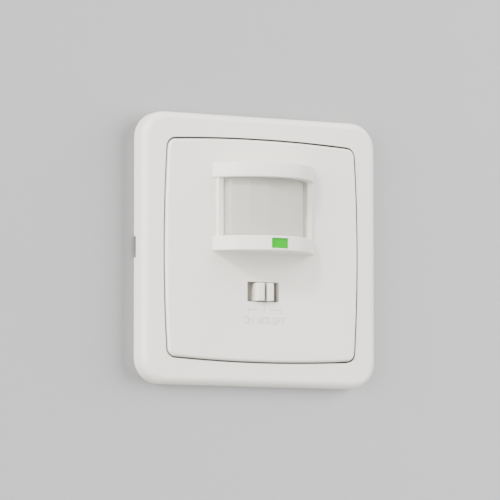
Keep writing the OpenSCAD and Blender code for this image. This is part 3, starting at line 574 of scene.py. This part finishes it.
KNOB_SHELL = plastic("knob_plastic", WHITE, **GLOSS, recess=(
    GROOVE_HALF + GROOVE_REACH, KNOB_HALF_Y, SLOT_CENTRE, KNOB_FRONT - GROOVE_EDGE, GROOVE_SHARE))

# Other finishes
# The skirt's dark grey is painted shade, standing in for the shade on the floor of the knob's window
SKIRT = plastic("skirt_painted_shade", srgb(146, 140, 131), 0.55, shade=0.97)
INNER = plastic("inner_plastic", srgb(233, 231, 226), 0.55, shade=0.95)
BLACK = plastic("black_plastic", srgb(38, 39, 42), 0.5, shade=0.8)
RELAY_BLUE = plastic("relay_plastic", srgb(58, 110, 168), 0.35, shade=0.9)
FILM_YELLOW = plastic("film_plastic", srgb(217, 178, 60), 0.35, shade=0.9)
FUSE_GREEN = plastic("fuse_lacquer", srgb(127, 174, 141), 0.3, shade=0.88)
BLOCK_GREEN = plastic("terminal_plastic", srgb(77, 143, 91), 0.5, shade=0.9)
CELL_BROWN = plastic("photocell_resin", srgb(201, 138, 90), 0.3, shade=0.75, cloud=900.0)
FILTER_GLASS = plastic("filter_glass", srgb(60, 63, 70), 0.12, spread=0.02, shade=0.9, relief=5e-7)
MARK_GREY = plastic("mark_paint", srgb(152, 149, 144), 0.5, shade=0.95)
ZINC = metal("zinc_steel", srgb(190, 193, 197), 0.36)
BRASS = metal("bright_brass", srgb(200, 170, 96), 0.3)
BOARD = lacquered_board()
LENS = milky_lens()
LAMP = lamp_plastic()

FINISHES = {
    "lens_retainer": INNER, "switch_lever": BLACK, "switch_case": ZINC, "time_adjuster": INNER,
    "light_adjuster": INNER, "time_trimmer": BLACK, "light_trimmer": BLACK, "support_plate": ZINC,
    "front_carrier": INNER, "carrier_screws": ZINC, "rear_housing": INNER, "sensor_board": BOARD,
    "power_board": BOARD, "board_header": BLACK, "header_pins": BRASS, "pir_can": ZINC,
    "pir_filter": FILTER_GLASS, "photocell": CELL_BROWN, "status_led": LAMP, "led_leads": ZINC,
    "control_chip": BLACK, "relay": RELAY_BLUE, "film_capacitor": FILM_YELLOW, "filter_capacitor": BLACK,
    "varistor": RELAY_BLUE, "fuse_resistor": FUSE_GREEN, "bridge_rectifier": BLACK,
    "terminal_block": BLOCK_GREEN, "terminal_clamps": BRASS, "terminal_screws": ZINC,
    "cover_frame": SHELL, "centre_cover": SHELL, "fresnel_lens": LENS, "led_window": LAMP, "mode_knob": SHELL,
}
for node, finish in FINISHES.items():
    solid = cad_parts[node]
    solid.data.materials.clear()
    solid.data.materials.append(finish)


def frame_patches():
    """The frame: a closed section carried round the square, from its rounded outside to the bowed opening."""
    straight = FRAME_HALF - FRAME_CORNER
    notch = np.array([NOTCH_HALF - NOTCH_STEP, NOTCH_HALF + NOTCH_STEP]) / straight
    sides = [np.unique(np.concatenate([np.linspace(-1, 1, 41), notch, -notch]))] * 4

    def rear(o):
        in_notch = (o[:, 0] < -CAVITY_HALF + NOTCH_STEP) & (np.abs(o[:, 1]) < NOTCH_HALF)
        return np.where(in_notch, NOTCH_DEPTH, 0.0)

    def square(inset):
        return rounded_rect(FRAME_HALF - inset, FRAME_HALF - inset, FRAME_CORNER - inset, sides)

    def opening(outset):
        return bowed_square(COVER_HALF + COVER_GAP + outset, COVER_CORNER + COVER_GAP + outset, sides)

    cavity = rounded_rect(CAVITY_HALF, CAVITY_HALF, CAVITY_CORNER, sides)
    rings = [(square(0), rear(square(0))), (square(0), NOTCH_DEPTH + NOTCH_BRIM)]
    rings += [(square(FRAME_EDGE * c), FRAME_DEPTH - FRAME_EDGE + FRAME_EDGE * s) for c, s in quarter(14)]
    rings += [(square(FRAME_EDGE + FRAME_BRIM), FRAME_DEPTH), (opening(FRAME_LIP + LIP_BRIM), FRAME_DEPTH)]
    rings += [(opening(FRAME_LIP * (1 - s)), FRAME_DEPTH - FRAME_LIP * c) for c, s in quarter(5)]
    rings += [(opening(0), CAVITY_FRONT), (cavity, CAVITY_FRONT), (cavity, rear(cavity))]
    patches = [patch(stack(rings), wrap_rows=True, wrap_cols=True)]
    for cx, cy in ((1, 0), (0, 1), (-1, 0), (0, -1)):
        half_x = TONGUE_THICK / 2 if cx else TONGUE_LENGTH / 2
        half_y = TONGUE_THICK / 2 if cy else TONGUE_LENGTH / 2
        patches.append(soft_box(
            cx * TONGUE_MID, cy * TONGUE_MID, half_x, half_y, TONGUE_BACK, CAVITY_FRONT + TONGUE_LAP,
            TONGUE_CORNER, TONGUE_EDGE, back_edge=TONGUE_TIP))
    return patches


def cover_patches():
    """The cover: bowed shell with a round edge; its face runs from the outline to a window of grid cells."""
    half_x = LENS_HALF + SNUG
    top, bottom = LENS_HIGH + SNUG, SLOT_CENTRE - SLOT_HALF_Y - SLOT_MARGIN
    mid, half_y = (top + bottom) / 2, (top - bottom) / 2
    lens_low = LENS_LOW - SNUG
    slot_x, slot_top = SLOT_HALF_X + SLOT_MARGIN, SLOT_CENTRE + SLOT_HALF_Y + SLOT_MARGIN
    across = np.unique(np.concatenate([np.linspace(-1, 1, 33), np.array([-slot_x, slot_x]) / half_x]))
    up = np.unique(np.concatenate([np.linspace(-1, 1, 33), (np.array([slot_top, lens_low]) - mid) / half_y]))
    sides = [up, across, -up[::-1], across]
    gx, gy = half_x * across, mid + half_y * up
    cx, cy = (gx[:-1] + gx[1:]) / 2, ((gy[:-1] + gy[1:]) / 2)[:, None]
    solid = ~((cy > lens_low) | ((cy < slot_top) & (np.abs(cx) < slot_x)))
    window = rounded_rect(half_x, half_y, SQUARE, sides, (0.0, mid))

    def skin(half, corner, level):
        rings = [(bowed_square(half, corner, sides), level), (window, level)]
        face = on_wall(gx[None, :], gy[:, None], level)
        return [patch(stack(rings), wrap_cols=True), patch(face, keep=solid)]

    def shell(inset):
        return bowed_square(COVER_HALF - inset, COVER_CORNER - inset, sides)

    rings = [(shell(0), COVER_BACK)]
    rings += [(shell(COVER_EDGE * c), COVER_FRONT - COVER_EDGE + COVER_EDGE * s) for c, s in quarter(10)]
    drawn_in = COVER_EDGE + COVER_BRIM
    rings += [(shell(drawn_in), COVER_FRONT)]
    inner = bowed_square(COVER_HALF - RIM_THICK, RIM_CORNER, sides)
    patches = [patch(stack(rings), wrap_cols=True)]
    patches += skin(COVER_HALF - drawn_in, COVER_CORNER - drawn_in, COVER_FRONT)
    rim = [(shell(0), COVER_BACK), (inner, COVER_BACK), (inner, COVER_INSIDE)]
    patches.append(patch(stack(rim), wrap_cols=True))
    patches += skin(COVER_HALF - RIM_THICK, RIM_CORNER, COVER_INSIDE)

    def cell_sides(x_reach, low, high):
        fx = gx[np.abs(gx) < x_reach + HAIR] / x_reach
        fy = (gy[(gy > low - HAIR) & (gy < high + HAIR)] - (low + high) / 2) / ((high - low) / 2)
        return [fy, fx, -fy[::-1], fx]

    lens_hole = rounded_rect(
        half_x, (top - lens_low) / 2, SQUARE, cell_sides(half_x, lens_low, top), (0.0, (top + lens_low) / 2))
    patches.append(patch(stack([(lens_hole, COVER_FRONT), (lens_hole, COVER_INSIDE)]), wrap_cols=True))
    slot_sides = cell_sides(slot_x, bottom, slot_top)

    def slot(outset):
        return rounded_rect(
            SLOT_HALF_X + outset, SLOT_HALF_Y + outset, SLOT_CORNER + outset, slot_sides, (0.0, SLOT_CENTRE))

    around = rounded_rect(slot_x, SLOT_HALF_Y + SLOT_MARGIN, SQUARE, slot_sides, (0.0, SLOT_CENTRE))
    rings = [(around, COVER_FRONT), (slot(SLOT_EDGE + SLOT_BRIM), COVER_FRONT)]
    rings += [(slot(SLOT_EDGE * (1 - s)), COVER_FRONT - SLOT_EDGE * c) for c, s in quarter(4)]
    rings += [(slot(0), COVER_INSIDE), (around, COVER_INSIDE)]
    patches.append(patch(stack(rings), wrap_cols=True))

    post_x, stake_x = LENS_HALF + POST_GAP + POST_WIDTH / 2, LENS_HALF - STAKE_INSET
    post_half = (OPENING_HIGH - OPENING_LOW) / 2 + POST_LAP
    for sx in (-1, 1):
        patches.append(soft_box(
            sx * post_x, HEAD_CENTRE, POST_WIDTH / 2, post_half, COVER_ROOT, COVER_FRONT + POST_RISE,
            POST_CORNER, POST_EDGE))
        for sy in (-1, 1):
            patches.append(turned_pin(sx * PEG_PLACE, sy * PEG_PLACE, PEG_BACK, COVER_ROOT, PEG_R, PEG_EDGE))
        for y in ((HEAD_LOW + LENS_LOW) / 2, (HEAD_HIGH + LENS_HIGH) / 2):
            patches.append(turned_pin(sx * stake_x, y, STAKE_BACK, COVER_ROOT, STAKE_R, STAKE_EDGE))
    patches += bar_patches(HEAD_LOW, OPENING_LOW, LENS_LOW - SNUG, lamp=True)
    patches += bar_patches(HEAD_HIGH, OPENING_HIGH, LENS_HIGH + SNUG, lamp=False)
    return patches


def bar_patches(outer, inner, pocket, lamp):
    """One curved bar: its section of radius and height, carried round the head's axis.

    The section runs from inside the cover up the outer end, over the soft front edges, along the
    inner end to the lens's room, down that room and back; outer, inner and pocket are heights.
    """
    side = 1.0 if inner > outer else -1.0
    room = LENS_R + SNUG
    end = math.asin(HEAD_HALF / HEAD_R) + BAR_RUN_ON
    lens_end = math.acos((COVER_FRONT - HEAD_AXIS - SNUG) / room)
    lamp_x = LAMP_HALF_X + SNUG
    lamp_low, lamp_high = LAMP_CENTRE - LAMP_HALF_Y - SNUG, LAMP_CENTRE + LAMP_HALF_Y + SNUG
    stops = np.array([lens_end - BAR_STOP, lens_end + BAR_STOP])
    lamp_stops = np.arcsin((LAMP_X + np.array([-lamp_x, lamp_x])) / HEAD_R)
    phi = np.unique(np.concatenate([np.linspace(-end, end, 97), stops, -stops, lamp_stops]))[:, None]
    rounds = quarter(5)
    r_out = [HEAD_R - BAR_EDGE + BAR_EDGE * s for c, s in rounds]
    y_out = [outer + side * BAR_EDGE * c for c, s in rounds]
    y_in = [inner - side * BAR_EDGE * c for c, s in rounds]
    y_mid = [lamp_low, lamp_high] if lamp else [(outer + inner) / 2]
    r_end = HEAD_R - BAR_EDGE
    r = np.array([r_end] * 2 + r_out + [HEAD_R] * len(y_mid) + r_out[::-1] + [r_end - BAR_BRIM])
    y = np.array([outer, outer] + y_out + y_mid + y_in[::-1] + [inner])
    x, z = r * np.sin(phi), HEAD_AXIS + r * np.cos(phi)
    z[:, 0] = COVER_ROOT
    in_lens = np.abs(phi[:, 0]) < lens_end
    back = np.where(in_lens, HEAD_AXIS + room * np.cos(phi[:, 0]), COVER_ROOT)
    bx = np.where(in_lens, room * np.sin(phi[:, 0]), x[:, 1])
    x = np.column_stack([x, bx, bx, bx])
    z = np.column_stack([z, back, back, np.full_like(back, COVER_ROOT)])
    y = np.concatenate([y, [inner, pocket, pocket]])
    keep = None
    if lamp:
        mid_phi = np.concatenate([[end], (phi[1:, 0] + phi[:-1, 0]) / 2, [end]])
        column = 2 + len(rounds)
        inside = (mid_phi > lamp_stops[0]) & (mid_phi < lamp_stops[1])
        keep = ~(inside[:, None] & (np.arange(len(y)) == column)[None, :])
    patches = [patch(capped(on_wall(x, y[None, :], z)), wrap_cols=True, keep=keep)]
    if lamp:
        edge = HEAD_R * np.sin(phi[(phi > lamp_stops[0] - HAIR) & (phi < lamp_stops[1] + HAIR)])
        rim = np.concatenate([np.stack([edge, np.full_like(edge, lamp_low)], axis=-1),
                              np.stack([edge[::-1], np.full_like(edge, lamp_high)], axis=-1)])
        face = HEAD_AXIS + np.sqrt(HEAD_R ** 2 - rim[:, 0] ** 2)
        seam = np.stack([LAMP_X + (rim[:, 0] - LAMP_X) * LAMP_SEAM, np.full(len(rim), LAMP_CENTRE)], axis=-1)
        well = [(rim, face), (rim, LAMP_BACK - SNUG), (seam, LAMP_BACK - SNUG)]
        patches.append(patch(stack(well), wrap_cols=True))
    return patches


def lens_patches():
    """The lens: a thin sheet whose plan is flat facets round the axis, carried up between the bars.

    Each facet is sampled near its ends, so that its ridge is soft but its face stays flat.
    """
    half_n = FACETS / 2
    bends = np.radians((np.arange(FACETS + 1) - half_n) * FACET_ANGLE)
    inner_half = LENS_HALF - LENS_THICK

    def plan(r, foot):
        ridge = np.stack([r * np.sin(bends), HEAD_AXIS + r * np.cos(bends)], axis=-1)
        right = np.array(foot)
        line = np.concatenate([right[::-1] * [-1, 1], ridge, right])
        last = len(foot) - 1
        f = np.array(FACET_SAMPLES)[None, :, None]
        facets = slice(last, last + FACETS + 3)
        a, b = line[facets][:-1, None], line[facets][1:, None]
        return np.concatenate([line[:last], (a + (b - a) * f).reshape(-1, 2), line[-last:]])

    inner_r = LENS_R - LENS_THICK
    knee = HEAD_AXIS + math.sqrt(inner_r ** 2 - inner_half ** 2)
    flange_back = COVER_INSIDE - LENS_THICK
    front = plan(LENS_R, [(LENS_HALF, COVER_FRONT), (LENS_HALF, COVER_INSIDE), (FLANGE_HALF, COVER_INSIDE)])
    back = plan(inner_r, [(inner_half, knee), (inner_half, flange_back), (FLANGE_HALF, flange_back)])
    x = np.column_stack([front[:, 0], front[:, 0], back[:, 0], back[:, 0]])
    z = np.column_stack([front[:, 1], front[:, 1], back[:, 1], back[:, 1]])
    y = np.array([LENS_LOW, LENS_HIGH, LENS_HIGH, LENS_LOW])
    return [patch(capped(on_wall(x, y[None, :], z)), wrap_cols=True)]


def lamp_patches():
    """The green window: a block whose front follows the bar's curve, and the stem behind it."""
    r = HEAD_R - LAMP_INSET

    def curve(across):
        return np.sqrt(r ** 2 - across ** 2) - r

    return [
        soft_box(LAMP_X, LAMP_CENTRE, LAMP_HALF_X, LAMP_HALF_Y, LAMP_BACK, HEAD_AXIS + r,
                 LAMP_CORNER, LAMP_EDGE, front=curve),
        soft_box(0.0, STEM_CENTRE, STEM_HALF_X, STEM_HALF_Y, STEM_BACK, LAMP_BACK + STEM_LAP,
                 STEM_CORNER, STEM_EDGE, back_edge=STEM_TIP),
    ]


def knob_patches():
    """The knob: a section with two ridges and a groove, carried up the wall and drawn in at its ends."""
    root = SKIRT_FRONT - KNOB_LAP
    height = KNOB_FRONT - root
    a = np.linspace(0, math.pi / 2, 7)
    b = np.linspace(0, math.pi / 2, 5)
    wall_foot, floor_foot = GROOVE_HALF - GROOVE_TAPER, GROOVE_HALF - GROOVE_TAPER - GROOVE_FILLET
    floor_level = height - GROOVE_DEPTH
    x = np.concatenate([[KNOB_HALF_X], KNOB_HALF_X - KNOB_EDGE * (1 - np.cos(a)),
                        GROOVE_HALF + GROOVE_EDGE * (1 - np.sin(b)), [wall_foot, floor_foot]])
    z = np.concatenate([[0.0], height - KNOB_EDGE * (1 - np.sin(a)),
                        height - GROOVE_EDGE * (1 - np.cos(b)), [floor_level + GROOVE_FILLET, floor_level]])
    x, z = np.concatenate([x, -x[::-1]]), np.concatenate([z, z[::-1]])
    inset = KNOB_EDGE * (1 - np.sin(a))
    level = KNOB_HALF_Y - KNOB_EDGE * (1 - np.cos(a))
    inset = np.concatenate([inset, inset[::-1]])[:, None]
    level = np.concatenate([-level, level[::-1]])[:, None]
    points = on_wall(x[None, :] * (1 - inset / KNOB_HALF_X), SLOT_CENTRE + level,
                     root + np.maximum(z[None, :] - inset, 0.0))
    floor = points.copy()
    floor[..., 1] = -root * MM
    return [patch(np.concatenate([floor[:1], points, floor[-1:]])), patch(floor)]


def skirt_patches():
    """Behind the knob: the skirt that closes its window, and the socket that takes the switch's lever."""
    return [
        soft_box(0.0, SLOT_CENTRE, SKIRT_HALF_X, SKIRT_HALF_Y, SKIRT_BACK, SKIRT_FRONT,
                 SKIRT_CORNER, SKIRT_EDGE),
        soft_box(0.0, SLOT_CENTRE, SOCKET_HALF, SOCKET_HALF, SOCKET_BACK, SKIRT_BACK + SOCKET_LAP,
                 SOCKET_CORNER, SOCKET_EDGE, back_edge=SOCKET_TIP),
    ]


make_piece("frame_shell", frame_patches(), "frame", FRAME_SHELL, ("cover_frame",))
make_piece("cover_shell", cover_patches(), "cover", COVER_SHELL, ("centre_cover",))
make_piece("lens_sheet", lens_patches(), "cover", LENS, ("fresnel_lens",), crease=8.0)
make_piece("lamp_window", lamp_patches(), "cover", LAMP, ("led_window",))
make_piece("knob_slider", knob_patches(), "slider", KNOB_SHELL, ("mode_knob",))
make_piece("knob_skirt", skirt_patches(), "slider", SKIRT, ("mode_knob",))

# Strokes of generic marks: points in a box one wide and one high
LETTERS = {
    "A": [[(0, 0), (0.5, 1), (1, 0)], [(0.2, 0.36), (0.8, 0.36)]],
    "F": [[(0, 0), (0, 1), (1, 1)], [(0, 0.52), (0.8, 0.52)]],
    "N": [[(0, 0), (0, 1), (1, 0), (1, 1)]],
    "O": [[(0.25, 0), (0, 0.22), (0, 0.78), (0.25, 1), (0.75, 1), (1, 0.78), (1, 0.22), (0.75, 0),
           (0.25, 0)]],
    "T": [[(0, 1), (1, 1)], [(0.5, 1), (0.5, 0)]],
    "U": [[(0, 1), (0, 0.25), (0.25, 0), (0.75, 0), (1, 0.25), (1, 1)]],
}
STROKE, STROKE_RISE = 0.16, 0.03
MARK_LEVEL = COVER_FRONT - 0.005


def stroke_patch(points):
    """A stroke: a low half-round ridge carried along its path, square to each leg, mitred at the bends."""
    p = np.array(points, float)
    legs = np.diff(p, axis=0)
    legs /= np.linalg.norm(legs, axis=1)[:, None]
    before, after = np.vstack([legs[:1], legs]), np.vstack([legs, legs[-1:]])
    tangent = before + after
    tangent /= np.maximum(np.linalg.norm(tangent, axis=1), HAIR)[:, None]
    normal = np.stack([-tangent[:, 1], tangent[:, 0]], axis=-1)
    mitre = 1 / np.maximum(np.abs(np.sum(tangent * after, axis=1)), 0.5)
    p[0] -= legs[0] * STROKE / 2
    p[-1] += legs[-1] * STROKE / 2
    a = np.linspace(0, math.pi, 7)
    off = (STROKE / 2 * np.cos(a))[None, :] * mitre[:, None]
    place = p[:, None] + normal[:, None] * off[..., None]
    grid = on_wall(place[..., 0], place[..., 1], MARK_LEVEL + np.sin(a) * STROKE_RISE)
    return patch(capped(grid), wrap_cols=True)


# Words under the knob, each with its left and right edge and the gap between letters, and the bracket above
WORDS_LOW, WORDS_HIGH = -21.6, -19.7
WORDS = (("ON", -6.4, -3.5, 0.45), ("AUTO", -1.75, 2.15, 0.32), ("OFF", 3.4, 7.7, 0.5))
BRACKET = (
    [(-5.0, -18.6), (-5.0, -17.4), (-2.1, -17.4)], [(0.3, -17.9), (0.3, -16.7)],
    [(2.1, -17.4), (5.8, -17.4), (5.8, -18.6)])


def word_patches(word, left, right, gap):
    """Letters side by side between two edges, each stretched into its own box."""
    width = (right - left - gap * (len(word) - 1)) / len(word)
    patches = []
    for i, letter in enumerate(word):
        corner = np.array([left + i * (width + gap), WORDS_LOW])
        for path in LETTERS[letter]:
            patches.append(stroke_patch(corner + np.array(path) * [width, WORDS_HIGH - WORDS_LOW]))
    return patches


marks = [p for word in WORDS for p in word_patches(*word)] + [stroke_patch(path) for path in BRACKET]
make_piece("mode_marks", marks, "cover", MARK_GREY, crease=80.0)


# Stage: a plain wall that shows only from the room, and a plain floor well below
def plain_sheet(name, points, quads, finish):
    """A flat sheet from its points, in metres, and its quads."""
    mesh = bpy.data.meshes.new(name)
    mesh.from_pydata(points.tolist(), [], quads.tolist())
    mesh.materials.append(finish)
    obj = bpy.data.objects.new(name, mesh)
    bpy.context.scene.collection.objects.link(obj)
    return obj


WALL_TONE, FLOOR_TONE = 0.3, 0.378


def wall_paint():
    """Plain wall paint on the room's side; from behind the wall isn't there."""
    mat, tree, shader = new_finish("wall_paint", 0.9)
    shader.inputs["Base Color"].default_value = (WALL_TONE, WALL_TONE, WALL_TONE, 1.0)
    shader.inputs["Specular IOR Level"].default_value = 0.1
    clear = tree.nodes.new("ShaderNodeBsdfTransparent")
    side = tree.nodes.new("ShaderNodeNewGeometry").outputs["Backfacing"]
    mix = tree.nodes.new("ShaderNodeMixShader")
    tree.links.new(side, mix.inputs["Fac"])
    tree.links.new(shader.outputs[0], mix.inputs[1])
    tree.links.new(clear.outputs[0], mix.inputs[2])
    tree.links.new(mix.outputs[0], tree.nodes["Material Output"].inputs["Surface"])
    return mat


floor_paint, _, floor_shader = new_finish("floor_paint", 0.9)
floor_shader.inputs["Base Color"].default_value = (FLOOR_TONE, FLOOR_TONE, FLOOR_TONE, 1.0)
# The wall lies a little in front of the switch's rear faces, so that none is in its own plane, and is cut out
# round the works; it is a ring from its outline in to the cut
WALL_HALF, WALL_CORNER, WALL_FACE = 1200.0, 1.0, 0.1
FLOOR_LEVEL, FLOOR_REACH = -450.0, 4000.0
BOX_HALF, BOX_CORNER = 23.5, 10.0
cut_out = rounded_rect(BOX_HALF, BOX_HALF, BOX_CORNER)
wall_middle, wall_rise = (WALL_HALF + FLOOR_LEVEL) / 2, (WALL_HALF - FLOOR_LEVEL) / 2
wall_edge = rounded_rect(WALL_HALF, wall_rise, WALL_CORNER, centre=(0.0, wall_middle))
wall_ring = stack([(wall_edge, WALL_FACE), (cut_out, WALL_FACE)])
wall = plain_sheet("wall", *patch(wall_ring, wrap_cols=True), wall_paint())
floor_x, floor_out = np.meshgrid([-FLOOR_REACH, FLOOR_REACH], [FLOOR_REACH, -FLOOR_REACH])
plain_sheet("floor", *patch(on_wall(floor_x, FLOOR_LEVEL, floor_out)), floor_paint)

# Light: even room light, soft lamps that light the switch, and three more that light the wall alone
ROOM_LIGHT, LAMP_DISTANCE = 0.42, 1.5
world = bpy.data.worlds.new("room_light")
bpy.context.scene.world = world
world.use_nodes = True
world.node_tree.nodes["Background"].inputs["Color"].default_value = (1.0, 1.0, 1.0, 1.0)
world.node_tree.nodes["Background"].inputs["Strength"].default_value = ROOM_LIGHT


def area_lamp(name, azimuth, elevation, power, size):
    """A square lamp that faces the switch; a bearing of 0 degrees is straight in front, 90 to the right."""
    a, e = math.radians(azimuth), math.radians(elevation)
    away = Vector((math.sin(a) * math.cos(e), -math.cos(a) * math.cos(e), math.sin(e)))
    data = bpy.data.lights.new(name, "AREA")
    data.shape = "SQUARE"
    data.size = size
    data.energy = power
    lamp = bpy.data.objects.new(name, data)
    lamp.location = away * LAMP_DISTANCE
    lamp.rotation_mode = "QUATERNION"
    lamp.rotation_quaternion = (-away).to_track_quat("-Z", "Y")
    bpy.context.scene.collection.objects.link(lamp)
    return lamp


def share_out(lamp, sheet, on_sheet):
    """Let the lamp's light fall on the sheet alone, or on everything but the sheet."""
    group = bpy.data.collections.new(lamp.name + "_share")
    group.objects.link(sheet)
    group.collection_objects[0].light_linking.link_state = "INCLUDE" if on_sheet else "EXCLUDE"
    lamp.light_linking.receiver_collection = group


# Name, bearing, elevation, power, size, and whether the lamp is for the wall alone
for lamp_name, bearing, height, watts, side, on_wall_only in (
        ("lamp_left", -75, 10, 55.0, 1.3, False), ("lamp_key", -50, 35, 20.5, 0.2, False),
        ("lamp_front", -15, 10, 7.3, 1.3, False), ("lamp_right", 45, 10, 10.0, 1.3, False),
        ("lamp_upper_right", 45, 40, 32.0, 1.3, False), ("lamp_behind", 205, 30, 16.0, 0.7, False),
        ("wall_right", 62, 11, 104.0, 1.3, True), ("wall_left", -62, 5, 43.0, 1.3, True),
        ("wall_front", 0, 0, 14.0, 1.3, True)):
    share_out(area_lamp(lamp_name, bearing, height, watts, side), wall, on_wall_only)

# Camera at the photograph's viewing angle
AZIMUTH, ELEVATION, DISTANCE = math.radians(-30.45), math.radians(-4.62), 1.222
FOCAL, SENSOR, FAR_CLIP = 295.9, 36.0, 20.0
TARGET = Vector((-0.0006, 0.0, 0.00073))
back = Vector((math.sin(AZIMUTH) * math.cos(ELEVATION), -math.cos(AZIMUTH) * math.cos(ELEVATION),
               math.sin(ELEVATION)))
camera = bpy.data.objects.new("camera", bpy.data.cameras.new("camera"))
camera.data.lens, camera.data.sensor_width = FOCAL, SENSOR
camera.data.clip_end = FAR_CLIP
camera.location = TARGET + back * DISTANCE
camera.rotation_mode = "QUATERNION"
camera.rotation_quaternion = (-back).to_track_quat("-Z", "Y")
bpy.context.scene.collection.objects.link(camera)
bpy.context.scene.camera = camera
